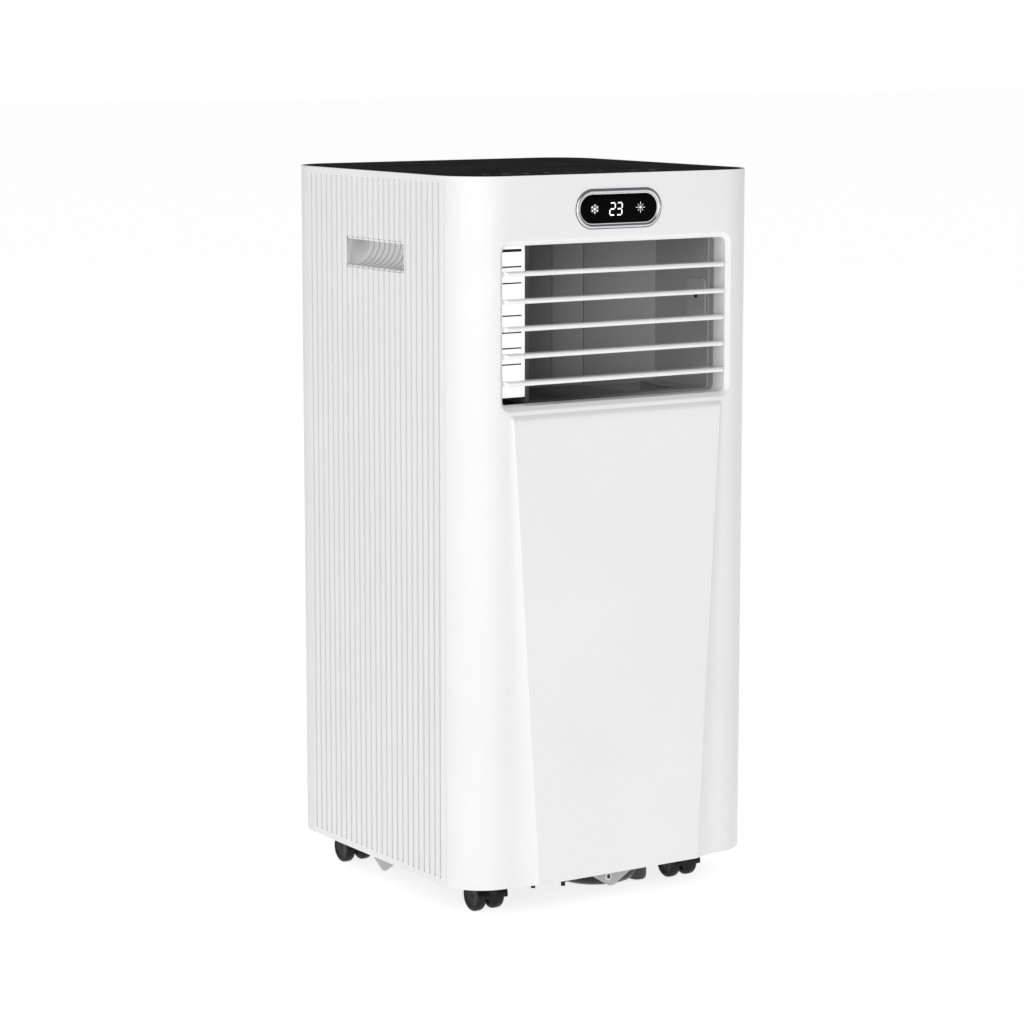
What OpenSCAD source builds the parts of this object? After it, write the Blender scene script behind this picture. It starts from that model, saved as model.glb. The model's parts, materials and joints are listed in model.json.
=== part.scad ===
// Portable air conditioner on four twin-wheel casters: an upper cooling stage
// that blows out through five coupled louvres, and a lower condenser stage that
// exhausts through a round port at the back. Millimetres, +Z up, front faces -Y,
// origin on the floor at the centre of the object's box.

/* [Body] */
// Width of the cabinet across the sides
body_w = 345; // [340:1:350]
// Depth of the cabinet, without the apron and the exhaust collar
body_d = 341; // [338:1:346]
// Height of the cabinet above its own lower edge
body_h = 679; // [676:1:690]
// Height of the lower edge above the floor
floor_gap = 35; // [35:1:37]
// Radius of the four upright corners
corner_r = 47; // [45:1:48]
// Wall of the moulded panels
wall = 3; // [2.5:0.1:3.2]
// How far the apron and the collar stand proud of the cabinet
proud = 7; // [5:0.5:8]

/* [Side grooves] */
// Number of upright grooves in each side
groove_count = 25; // [15:1:25]
// Distance between grooves
groove_pitch = 10; // [8:0.5:10]
// Width of a groove
groove_w = 2.2; // [1.5:0.1:3]
// Depth of a groove
groove_depth = 0.9; // [0.5:0.1:1.2]

/* [Air outlet] */
// Half width of the opening behind its chamfer
outlet_half_w = 129; // [127:1:129]
// Lower edge of the opening behind its chamfer
outlet_z0 = 498; // [497:1:499]
// Upper edge of the opening behind its chamfer
outlet_z1 = 649; // [648:1:650]
// Chamfer round the opening
outlet_chamfer = 4; // [3:0.5:4.5]
// Number of louvre blades
louvre_count = 5; // [5:1:5]
// Distance between blades
louvre_pitch = 25.75; // [24:0.25:26]
// Height of the lowest blade
louvre_z0 = 519.7; // [518:0.1:521]
// Depth of a blade from nose to tail
louvre_chord = 26; // [22:1:26]
// Thickness of a blade
louvre_t = 4.8; // [4:0.1:5]

/* [Casters] */
// Radius of a caster wheel
wheel_r = 15; // [14:0.5:15]
// Width of a caster wheel
wheel_w = 10; // [8:0.5:10]
// Distance between the two wheels of a caster
wheel_spacing = 20.7; // [20.5:0.1:22]
// Distance from the swivel axis back to the axle
trail = 12; // [10:0.5:12]

/* [Exhaust] */
// Inside radius of the exhaust port
exhaust_r = 75; // [70:1:75]
// Height of the exhaust port's axis
exhaust_z = 308; // [308:1:310]
// Sideways place of the exhaust port's axis
exhaust_x = 20; // [10:1:25]

/* [Hidden] */
$fn = 64;
gap = 0.3;

// Cabinet
z_low = floor_gap;
z_top = floor_gap + body_h;
front_y = -body_d / 2;
rear_y = body_d / 2;
side_x = body_w / 2;
front_seam = -133;
rear_seam = 122;
lid_inset = wall + gap;
lid_t = 3;
lid_skirt = 10;

// Display and keys
display_z = 680.7;
display_w = 98;
display_h = 37;
bezel_rim = 4;
key_y = -128;
key_travel = 0.8;
key_cap_r = 6.5;
key_stem_r = 3;
key_flange = 1.8;
key_foot_z = z_top - 8;
key_board_z = z_top - 13;
board_t = 1.6;
small_keys = [["key_power", -123], ["key_timer", -100], ["key_fan", -77], ["key_mode", -54],
              ["key_swing", 46], ["key_night", 69]];
rocker_x = -10;
rocker_w = 58;
rocker_h = 13;
rocker_foot_z = z_top - 7.4;
rocker_pin_z = z_top - 5.4;
rocker_pin_r = 1.2;
rocker_pad_x = 20;

// Apron: flush at its top, proud at its foot
apron_z1 = 490;
apron_top_half = 120.3;
apron_foot_half = 93.6;
apron_bevel = 30;

// Hand recess in each side
recess_y0 = -62;
recess_y1 = 47;
recess_z0 = 619;
recess_z1 = 649;
recess_depth = 27;
recess_rise = 12;
recess_wall = 2.2;

// Louvres
reveal_depth = 22;
pivot_y = front_y + 13.5;
pivot_r = 2.2;
blade_half = outlet_half_w - 0.5;
crank_x = -outlet_half_w - wall - 2.5;
crank_t = 3;
crank_len = 14;
crank_pin_r = 2;
fit = 0.05;

// Air duct behind the louvres, with the plain cheek on its left
duct_x0 = -86.7;
duct_x1 = 131;
duct_y0 = front_y + 30;
duct_y1 = -48;
duct_z0 = 496;
duct_z1 = 655;
duct_wall = 3;
cheek_slot_pitch = 15.4;
cheek_slot_z0 = 534.8;
cheek_slots = 8;

// Upper blower
evap_cz = 392;
evap_r0 = 82;
evap_r1 = 110;
evap_y0 = -126;
evap_y1 = -50;
evap_wheel_r = 75;
evap_wheel_y0 = -118;
evap_wheel_y1 = -58;
scroll_wall = 2;

// Lower blower
cond_cx = 45;
cond_cz = 150;
cond_r0 = 66;
cond_r1 = 88;
cond_y0 = 6;
cond_y1 = 84;
cond_wheel_r = 60;
cond_wheel_y0 = 14;
cond_wheel_y1 = 76;

// Deck between the stages
deck_z_front = 272;
deck_z_rear = 389;
deck_step_y = 4;
deck_t = 3;

// Grille cassettes in the back
grille_half = 110;
upper_z0 = 405;
upper_z1 = 688;
lower_z0 = 70;
lower_z1 = 214;
grille_frame = 10;
slat_pitch = 9;

// Casters: swivel axes
caster_front = [116, -124.6];
caster_rear = [129, 105.5];
casters = [
    [-caster_front[0], caster_front[1]], caster_front,
    [-caster_rear[0], caster_rear[1]], caster_rear
];
axle_z = wheel_r;
axle_r = 2.5;
stem_r = 5;
hood_r = wheel_r + 2;
hood_half = 17;
hood_top = floor_gap - 2;

// Base pan
pan_z0 = floor_gap + 1;
pan_t = 3;
pan_rim = 26;
basin = [22, -100];
basin_r = 46;
basin_z0 = 10;
// Small sump beside the basin: x, y, radius and underside
sump = [66, -98, 11, 14];
drain_x = -60;
drain_z = 50;
drain_r = 8;

// Compressor and its accumulator, as centres in plan
comp = [-95, -85];
comp_r = 57;
comp_z0 = 60;
comp_z1 = 236;
acc = [-14, -118];
pipe_r = 4;

// Small parts: float pivot, slinger centre in X and Z, control box, capacitor
float_pivot = [150, 50, 412];
slinger = [-112, 80];
slinger_r = 37;
ebox = [120, 163, -140, -52, 282, 470];
cap = [118, -52];

// Back: cord gland and screws, as X and Z
gland = [-100, 245];
gland_r = 9;
screw_x = 118;
rear_screws = [for (x = [-screw_x, screw_x], z = [74, 232, 396, 697]) [x, z]];

// Helpers: solids extruded along Y or X from an outline in the XZ or YZ plane
module along_y(y0, y1) {
    translate([0, y1, 0]) rotate([90, 0, 0]) linear_extrude(y1 - y0) children();
}
module along_x(x0, x1) {
    translate([x0, 0, 0]) rotate([90, 0, 90]) linear_extrude(x1 - x0) children();
}
module rod_y(x, z, r, y0, y1) {
    translate([x, y1, z]) rotate([90, 0, 0]) cylinder(r = r, h = y1 - y0);
}
module rod_x(y, z, r, x0, x1) {
    translate([x0, y, z]) rotate([0, 90, 0]) cylinder(r = r, h = x1 - x0);
}
module box(x0, x1, y0, y1, z0, z1) {
    translate([x0, y0, z0]) cube([x1 - x0, y1 - y0, z1 - z0]);
}
module round_rect(x0, x1, y0, y1, r) {
    translate([x0 + r, y0]) square([x1 - x0 - 2 * r, y1 - y0]);
    if (y1 - y0 > 2 * r + 0.01) translate([x0, y0 + r]) square([x1 - x0, y1 - y0 - 2 * r]);
    for (x = [x0 + r, x1 - r], y = [y0 + r, y1 - r]) translate([x, y]) circle(r);
}
module plan(inset) {
    round_rect(-side_x + inset, side_x - inset, front_y + inset, rear_y - inset, corner_r - inset);
}
// The cabinet's wall between two depths
module shell_band(y0, y1) {
    translate([0, 0, z_low]) linear_extrude(body_h) intersection() {
        difference() {
            plan(0);
            plan(wall);
        }
        translate([-body_w, y0]) square([2 * body_w, y1 - y0]);
    }
}
module pill(w, h) {
    round_rect(-w / 2, w / 2, display_z - h / 2, display_z + h / 2, h / 2);
}
module outlet_outline(grow, r) {
    round_rect(-outlet_half_w - grow, outlet_half_w + grow, outlet_z0 - grow, outlet_z1 + grow, r);
}
module mirror_x() {
    children();
    mirror([1, 0, 0]) children();
}

// ---- cabinet ----
module apron_form(inset) {
    foot = z_low - inset;
    y_foot = front_y - proud + inset;
    y_back = front_y + 1 + inset;
    hull() {
        translate([0, 0, apron_z1 - 0.1]) linear_extrude(0.1)
            translate([-apron_top_half + inset, front_y + inset])
            square([2 * (apron_top_half - inset), 1]);
        translate([0, 0, foot]) linear_extrude(0.1) polygon([
            [-apron_foot_half - apron_bevel + inset, y_back],
            [-apron_foot_half - apron_bevel + inset, front_y + inset],
            [-apron_foot_half + inset, y_foot],
            [apron_foot_half - inset, y_foot],
            [apron_foot_half + apron_bevel - inset, front_y + inset],
            [apron_foot_half + apron_bevel - inset, y_back]
        ]);
    }
}
module front_panel() {
    color([0.93, 0.93, 0.93]) difference() {
        union() {
            shell_band(-body_d, front_seam - gap / 2);
            apron_form(0);
            along_y(front_y + 1, front_y + reveal_depth) outlet_outline(wall, 6 + wall);
        }
        apron_form(wall);
        hull() {
            along_y(front_y - 0.2, front_y - 0.1) outlet_outline(outlet_chamfer + 0.1, 10);
            along_y(front_y + outlet_chamfer, front_y + outlet_chamfer + 0.1) outlet_outline(0, 6);
        }
        along_y(front_y - 1, 0) outlet_outline(0, 6);
        along_y(front_y - 1, 0) pill(display_w - 6, display_h - 6);
        for (i = [0 : louvre_count - 1])
            rod_x(pivot_y, louvre_z0 + i * louvre_pitch, pivot_r + fit,
                  -outlet_half_w - wall - 1, outlet_half_w + wall + 1);
    }
}
// Grooved plate with a hooked hand recess
module side_panel() {
    difference() {
        union() {
            shell_band(front_seam + gap / 2, rear_seam - gap / 2);
            recess_form(recess_wall);
        }
        box(-body_w, 0, -body_d, body_d, 0, z_top + 1);
        for (i = [0 : groove_count - 1])
            translate([side_x - groove_depth, -124 + i * groove_pitch - groove_w / 2, z_low + 6.5])
                cube([groove_depth + 1, groove_w, body_h - 13]);
        recess_form(0);
    }
}
// Hollow of the hand recess: a scoop that rises behind the lip
module recess_form(grow) {
    back = side_x - recess_depth - grow;
    top = recess_z1 + recess_rise + grow;
    lip = grow > 0 ? side_x - wall : side_x + 1;
    steps = 8;
    translate([0, recess_y1 + grow, 0]) rotate([90, 0, 0]) linear_extrude(recess_y1 - recess_y0 + 2 * grow)
        polygon(concat(
            [[lip, recess_z0 - grow]],
            [for (i = [0 : steps]) let(a = 90 * i / steps)
                [side_x - wall - (recess_depth - wall + grow) * sin(a),
                 recess_z0 - grow + (recess_depth - wall) * (1 - cos(a))]],
            [[back, top], [side_x - wall - (grow > 0 ? 0 : 2.5), top]],
            grow > 0 ? [] : [[side_x - wall - 2.5, recess_z1], [lip, recess_z1]]
        ));
}
module side_panel_left() {
    color([0.93, 0.93, 0.93]) mirror([1, 0, 0]) side_panel();
}
module side_panel_right() {
    color([0.93, 0.93, 0.93]) side_panel();
}
module rear_panel() {
    color([0.93, 0.93, 0.93]) difference() {
        union() {
            shell_band(rear_seam + gap / 2, body_d);
            for (s = rear_screws) rod_y(s[0], s[1], 5, rear_y - 14, rear_y - 1);
        }
        for (z = [[upper_z0, upper_z1], [lower_z0, lower_z1]])
            along_y(rear_y - wall - 1, rear_y + 1)
                round_rect(-grille_half - 0.4, grille_half + 0.4, z[0] - 0.4, z[1] + 0.4, 6.4);
        rod_y(exhaust_x, exhaust_z, exhaust_r + 4, rear_y - wall - 1, rear_y + 1);
        rod_y(drain_x, drain_z, drain_r + 4, rear_y - wall - 1, rear_y + 1);
        rod_y(gland[0], gland[1], gland_r, rear_y - wall - 1, rear_y + 1);
        for (s = rear_screws) rod_y(s[0], s[1], 2, rear_y - 15, rear_y + 1);
    }
}
// Lid: a tray turned over, with two ears below it for the rocker's pin
module top_panel() {
    color([0.08, 0.08, 0.09]) difference() {
        union() {
            difference() {
                translate([0, 0, z_top - lid_skirt]) linear_extrude(lid_skirt) plan(lid_inset);
                translate([0, 0, z_top - lid_skirt - 1])
                    linear_extrude(lid_skirt - lid_t + 1) plan(lid_inset + 2.5);
            }
            for (s = [-1, 1]) translate([rocker_x - 3, key_y + 8.2 * s - 1, rocker_pin_z - 2.6])
                cube([6, 2, z_top - lid_t + 0.1 - rocker_pin_z + 2.6]);
        }
        for (k = small_keys) translate([k[1], key_y, z_top - 5]) cylinder(r = key_cap_r + 0.3, h = 6);
        translate([0, 0, z_top - 5]) linear_extrude(6) rocker_outline(0.5);
        rod_y(rocker_x, rocker_pin_z, rocker_pin_r + fit, key_y - 10, key_y + 10);
    }
}
module rocker_outline(grow) {
    round_rect(rocker_x - rocker_w / 2 - grow, rocker_x + rocker_w / 2 + grow,
               key_y - rocker_h / 2 - grow, key_y + rocker_h / 2 + grow, rocker_h / 2 + grow);
}
module key(x) {
    color([0.13, 0.13, 0.14]) translate([x, key_y, 0]) {
        translate([0, 0, z_top - 3.4]) cylinder(r = key_cap_r, h = 3.3);
        translate([0, 0, z_top - 5.2]) cylinder(r = key_cap_r + 1.5, h = key_flange);
        translate([0, 0, key_foot_z]) cylinder(r = key_stem_r, h = 3);
    }
}
module key_power() { key(small_keys[0][1]); }
module key_timer() { key(small_keys[1][1]); }
module key_fan() { key(small_keys[2][1]); }
module key_mode() { key(small_keys[3][1]); }
module key_swing() { key(small_keys[4][1]); }
module key_night() { key(small_keys[5][1]); }
module key_temperature() {
    color([0.13, 0.13, 0.14]) {
        translate([0, 0, z_top - 4.4]) linear_extrude(4.3) rocker_outline(0);
        for (s = [-1, 1]) translate([rocker_x + s * rocker_pad_x, key_y, rocker_foot_z])
            cylinder(r = key_stem_r, h = 3.2);
        rod_y(rocker_x, rocker_pin_z, rocker_pin_r, key_y - 9, key_y + 9);
    }
}
module display_bezel() {
    color([0.75, 0.75, 0.76]) difference() {
        union() {
            along_y(front_y - 1.6, front_y) pill(display_w, display_h);
            along_y(front_y - 1, front_y + 7) pill(display_w - 6.4, display_h - 6.4);
        }
        along_y(front_y - 2, front_y + 8) pill(display_w - 2 * bezel_rim, display_h - 2 * bezel_rim);
    }
}
// Switch pad on the lying board: its top is what stops a key
module key_pad(x, foot_z) {
    translate([x, key_y, key_board_z + board_t - 0.1])
        cylinder(r = 2.5, h = foot_z - key_travel - key_board_z - board_t);
}
module display_window() {
    color([0.02, 0.02, 0.02])
        along_y(front_y - 0.6, front_y + 2)
            pill(display_w - 2 * bezel_rim - 0.2, display_h - 2 * bezel_rim - 0.2);
}
// One upright board behind the display and one lying board under the keys
module display_board() {
    color([0.1, 0.35, 0.2]) {
        box(-46, 46, front_y + 7.4, front_y + 9, display_z - 16, display_z + 16);
        for (x = [-21, -3.5, 6.5, 28])
            box(x - 4, x + 4, front_y + 2.2, front_y + 7.4, display_z - 6, display_z + 6);
        box(-132, 80, key_y - 12, key_y + 12, key_board_z, key_board_z + board_t);
        for (k = small_keys) key_pad(k[1], key_foot_z);
        for (s = [-1, 1]) key_pad(rocker_x + s * rocker_pad_x, rocker_foot_z);
        for (x = [-128, 76]) box(x - 3, x + 3, key_y + 11, key_y + 20, key_board_z, z_top - lid_t);
    }
}

// ---- outlet ----
// Thin white cheek that hides the space left of the duct, with narrow slots
module outlet_cheek() {
    color([0.97, 0.97, 0.97]) difference() {
        box(-outlet_half_w - wall, duct_x0 - gap, duct_y0, duct_y0 + 2.5, 503.5, outlet_z1 + 3);
        for (i = [0 : cheek_slots - 1]) {
            slot_h = (i == 2 || i == cheek_slots - 1) ? 2.8 : 1.6;
            z = cheek_slot_z0 + i * cheek_slot_pitch - slot_h / 2;
            box(-outlet_half_w, duct_x0 - gap - 2, duct_y0 - 1, duct_y0 + 4, z, z + slot_h);
        }
    }
}
// Blade outline across its chord: a rounded nose and a thin tail
module blade_section() {
    nose = louvre_t / 2;
    y0 = front_y;
    y1 = front_y + louvre_chord;
    translate([y0 + nose, 0]) circle(nose);
    polygon([[y0 + nose, nose], [y0 + 0.45 * louvre_chord, nose * 0.9], [y1, 0.6],
             [y1, -0.6], [y0 + 0.45 * louvre_chord, -nose * 0.9], [y0 + nose, -nose]]);
}
module blade(i) {
    z = louvre_z0 + i * louvre_pitch;
    tip_r = 6;
    color([0.95, 0.95, 0.95]) {
        intersection() {
            translate([0, 0, z]) along_x(-blade_half, blade_half) blade_section();
            translate([0, 0, z - 5]) linear_extrude(10)
                round_rect(-blade_half, blade_half, front_y - 0.1, front_y + louvre_chord + tip_r, tip_r);
        }
        rod_x(pivot_y, z, pivot_r, blade_half - 1, outlet_half_w + wall);
        rod_x(pivot_y, z, pivot_r, crank_x - crank_t, -blade_half + 1);
        along_x(crank_x - crank_t, crank_x) {
            translate([pivot_y, z - 2]) square([crank_len, 4]);
            translate([pivot_y, z]) circle(3.2);
            translate([pivot_y + crank_len, z]) circle(3.2);
        }
        rod_x(pivot_y + crank_len, z, crank_pin_r, crank_x - crank_t - 4, crank_x - 1);
    }
}
module louvre_1() { blade(0); }
module louvre_2() { blade(1); }
module louvre_3() { blade(2); }
module louvre_4() { blade(3); }
module louvre_5() { blade(4); }
// Bar that joins the five cranks, outside the left reveal
module louvre_link() {
    x1 = crank_x - crank_t - 0.4;
    color([0.85, 0.85, 0.85]) difference() {
        along_x(x1 - 3, x1) round_rect(pivot_y + crank_len - 4, pivot_y + crank_len + 4,
            louvre_z0 - 5, louvre_z0 + (louvre_count - 1) * louvre_pitch + 5, 3.9);
        for (i = [0 : louvre_count - 1])
            rod_x(pivot_y + crank_len, louvre_z0 + i * louvre_pitch, crank_pin_r + fit, x1 - 4, x1 + 1);
    }
}
module outlet_duct() {
    throat_x0 = evap_r0 / 2 - scroll_wall;
    color([0.25, 0.25, 0.26]) difference() {
        box(duct_x0, duct_x1, duct_y0, duct_y1, duct_z0, duct_z1);
        box(duct_x0 + 5, duct_x1 - duct_wall, duct_y0 - 1, duct_y1 - duct_wall,
            duct_z0 + duct_wall, duct_z1 - duct_wall);
        box(throat_x0 + scroll_wall, evap_r1, evap_y0 + scroll_wall, duct_y1 - duct_wall,
            duct_z0 - 1, duct_z0 + duct_wall + 1);
    }
}

// ---- blowers ----
// Spiral casing outline: the radius grows from r0 to r1 over 300 degrees,
// then the flow leaves straight up between the tongue and the outer wall
module scroll_form(r0, r1, y0, y1, grow, rise) {
    along_y(y0, y1) polygon([for (i = [0 : 40])
        let(a = 120 - 300 * i / 40, r = r0 + (r1 - r0) * i / 40 + grow) [r * cos(a), r * sin(a)]]);
    box(-r1 - grow, -r0 / 2 + grow, y0, y1, -8, rise);
}
module scroll(r0, r1, y0, y1, rise, inlet_r, motor_r) {
    difference() {
        scroll_form(r0, r1, y0, y1, scroll_wall, rise);
        scroll_form(r0, r1, y0 + scroll_wall, y1 - scroll_wall, 0, rise + 1);
        rod_y(0, 0, inlet_r, y1 - scroll_wall - 1, y1 + 1);
        rod_y(0, 0, motor_r, y0 - 1, y0 + scroll_wall + 1);
    }
}
// Drum of forward blades between a back plate and a front ring
module blower_wheel(r, y0, y1, blades, bore) {
    difference() {
        union() {
            rod_y(0, 0, r, y0, y0 + 2.5);
            rod_y(0, 0, 11, y0, y0 + 26);
            difference() {
                rod_y(0, 0, r, y1 - 3, y1);
                rod_y(0, 0, r - 11, y1 - 4, y1 + 1);
            }
            along_y(y0 + 1, y1 - 1) for (i = [0 : blades - 1])
                rotate(i * 360 / blades) translate([r - 6, 0])
                    rotate(32) translate([-5.2, -0.8]) square([10.4, 1.6]);
        }
        rod_y(0, 0, bore, y0 - 1, y0 + 30);
    }
}
module evaporator_scroll() {
    color([0.3, 0.3, 0.31]) translate([0, 0, evap_cz]) mirror([1, 0, 0])
        scroll(evap_r0, evap_r1, evap_y0, evap_y1, duct_z0 - evap_cz, 62, 14);
}
module evaporator_wheel() {
    color([0.2, 0.2, 0.22]) translate([0, 0, evap_cz])
        blower_wheel(evap_wheel_r, evap_wheel_y0, evap_wheel_y1, 30, 5 + fit);
}
module evaporator_motor() {
    color([0.6, 0.6, 0.62]) {
        rod_y(0, evap_cz, 42, evap_y0 - 34, evap_y0 - 4);
        rod_y(0, evap_cz, 13, evap_y0 - 5, evap_y0 + 4);
        rod_y(0, evap_cz, 5, evap_y0, evap_wheel_y0 + 24);
        for (a = [0 : 90 : 270]) rotate_about_y(0, evap_cz, a) rod_y(35, evap_cz, 4, evap_y0 - 20, evap_y0);
    }
}
module rotate_about_y(x, z, a) {
    translate([x, 0, z]) rotate([0, a, 0]) translate([-x, 0, -z]) children();
}
module condenser_scroll() {
    color([0.3, 0.3, 0.31]) translate([cond_cx, 0, cond_cz])
        scroll(cond_r0, cond_r1, cond_y0, cond_y1, exhaust_z - exhaust_r - 4 - cond_cz, 50, 14);
}
module condenser_wheel() {
    color([0.2, 0.2, 0.22]) translate([cond_cx, 0, cond_cz])
        blower_wheel(cond_wheel_r, cond_wheel_y0, cond_wheel_y1, 26, 5 + fit);
}
module condenser_motor() {
    color([0.6, 0.6, 0.62]) {
        rod_y(cond_cx, cond_cz, 40, cond_y0 - 44, cond_y0 - 4);
        rod_y(cond_cx, cond_cz, 13, cond_y0 - 5, cond_y0 + 4);
        rod_y(cond_cx, cond_cz, 5, cond_y0, cond_wheel_y0 + 24);
        for (a = [0 : 90 : 270])
            rotate_about_y(cond_cx, cond_cz, a) rod_y(cond_cx + 33, cond_cz, 4, cond_y0 - 20, cond_y0);
    }
}
// Box that turns the condenser air back to the round port
module exhaust_duct() {
    x0 = exhaust_x - exhaust_r - 6;
    x1 = exhaust_x + exhaust_r + 6;
    z0 = exhaust_z - exhaust_r - 4;
    z1 = exhaust_z + exhaust_r + 4;
    y1 = rear_y - wall - 8;
    color([0.3, 0.3, 0.31]) difference() {
        box(x0, x1, cond_y0, y1, z0, z1);
        box(x0 + 2, x1 - 2, cond_y0 + 2, y1 - 2, z0 + 2, z1 - 2);
        box(cond_cx - cond_r1, cond_cx - cond_r0 / 2, cond_y0 + 2, cond_y1 - 2, z0 - 1, z0 + 3);
        rod_y(exhaust_x, exhaust_z, exhaust_r, y1 - 3, y1 + 1);
    }
}
module exhaust_collar() {
    y0 = rear_y - wall - 8;
    color([0.9, 0.9, 0.9]) difference() {
        union() {
            rod_y(exhaust_x, exhaust_z, exhaust_r + 3.6, y0 + 0.1, rear_y + proud);
            rod_y(exhaust_x, exhaust_z, exhaust_r + 8, rear_y, rear_y + 2.5);
        }
        rod_y(exhaust_x, exhaust_z, exhaust_r, y0 - 1, rear_y + proud + 1);
    }
}

// ---- coils, compressor and pipes ----
// Finned block between two end plates, with return bends on the right
module coil(x0, x1, y0, y1, z0, z1, rows) {
    color([0.75, 0.76, 0.78]) {
        box(x0 + 2, x1 - 2, y0 + 1, y1 - 1, z0 + 1, z1 - 1);
        box(x0, x0 + 2, y0, y1, z0, z1);
        box(x1 - 2, x1, y0, y1, z0, z1);
    }
    step = (z1 - z0) / rows;
    color([0.8, 0.5, 0.3]) for (i = [0 : rows - 1])
        translate([x1, (y0 + y1) / 2, z0 + (i + 0.5) * step]) rotate([90, 0, 0])
            rotate([0, 0, -90]) rotate_extrude(angle = 180) translate([step / 4, 0]) circle(3.6);
}
module evaporator_coil() { coil(-148, 132, 100, 140, 400, 688, 9); }
module condenser_coil() { coil(-145, 138, 98, 138, 64, 222, 5); }
module compressor() {
    color([0.12, 0.12, 0.13]) {
        translate([comp[0], comp[1], 0]) {
            rotate_extrude() polygon(concat(
                [[0, comp_z0], [comp_r - 14, comp_z0]],
                [for (a = [0 : 15 : 90]) [comp_r - 14 + 14 * sin(a), comp_z0 + 14 - 14 * cos(a)]],
                [for (a = [0 : 10 : 90]) [comp_r * cos(a), comp_z1 - 24 + 24 * sin(a)]]
            ));
            translate([0, 0, comp_z1 - 4]) cylinder(r = 7, h = 10);
            for (a = [30 : 120 : 270]) rotate(a) {
                translate([0, -11, comp_z0 - 4]) cube([comp_r + 7, 22, 4]);
                translate([comp_r + 7, 0, comp_z0 - 4]) cylinder(r = 11, h = 4);
            }
        }
        translate([acc[0], acc[1], 96]) rotate_extrude()
            polygon([[0, 0], [14, 4], [22, 16], [22, 112], [14, 124], [0, 128]]);
        hull() for (p = [comp, acc]) translate([p[0], p[1], 120]) cylinder(r = 8, h = 14, $fn = 32);
    }
}
module compressor_grommets() {
    color([0.15, 0.15, 0.15]) translate([comp[0], comp[1], 0]) for (a = [30 : 120 : 270])
        rotate(a) translate([comp_r + 7, 0, pan_z0 + pan_t]) difference() {
            cylinder(r = 9, h = comp_z0 - 4 - pan_z0 - pan_t);
            translate([0, 0, -1]) cylinder(r = 3, h = 40);
        }
}
// Round tube swept along points: a ring of sides at every point, capped at both ends.
// Each ring's first spoke is the last ring's, squared up to the new heading.
function unit(v) = v / norm(v);
function across(t) = unit(cross(t, abs(t[2]) > 0.9 ? [1, 0, 0] : [0, 0, 1]));
function spokes(heading, i, last) = i == len(heading) ? [] :
    let(u = unit(last - (last * heading[i]) * heading[i])) concat([u], spokes(heading, i + 1, u));
module tube(points, r, sides = 10) {
    n = len(points);
    heading = [for (i = [0 : n - 1]) unit(points[min(i + 1, n - 1)] - points[max(i - 1, 0)])];
    spoke = spokes(heading, 0, across(heading[0]));
    rings = [for (i = [0 : n - 1]) let(u = spoke[i], v = cross(heading[i], u))
        for (j = [0 : sides - 1]) points[i] + r * (cos(360 * j / sides) * u + sin(360 * j / sides) * v)];
    walls = [for (i = [0 : n - 2], j = [0 : sides - 1])
        [i * sides + j, (i + 1) * sides + j, (i + 1) * sides + (j + 1) % sides, i * sides + (j + 1) % sides]];
    polyhedron(rings, concat([[for (j = [0 : sides - 1]) j]], walls,
        [[for (j = [sides - 1 : -1 : 0]) (n - 1) * sides + j]]));
}
// Points along a polyline whose corners are rounded by quadratic arcs
function rounded(p, r) = concat([p[0]],
    [for (i = [1 : len(p) - 2], t = [0 : 0.25 : 1]) let(a = p[i] + r * unit(p[i - 1] - p[i]),
        b = p[i] + r * unit(p[i + 1] - p[i])) (1 - t) * (1 - t) * a + 2 * t * (1 - t) * p[i] + t * t * b],
    [p[len(p) - 1]]);
module refrigerant_pipes() {
    color([0.8, 0.5, 0.3]) {
        tube(rounded([[-95, -85, 242], [-95, -85, 256], [-95, 118, 256], [-95, 118, 222]], 6), pipe_r);
        tube(rounded([[-145, 118, 80], [-158, 118, 80], [-158, 88, 80], [-158, 88, 131]], 6), pipe_r);
        tube(rounded([[-158, 88, 195], [-158, 88, 430], [-158, 120, 430], [-148, 120, 430]], 6), pipe_r);
        tube(rounded([[-148, 120, 660], [-158, 120, 660], [-158, 70, 660], [-158, 70, 266],
                      [-158, 0, 266], [-14, 0, 266], [-14, -118, 266], [-14, -118, 224]], 6), pipe_r);
        translate([-158, 88, 130]) rotate_extrude() polygon([[0, 0], [9, 8], [9, 58], [0, 66]]);
    }
}

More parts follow.
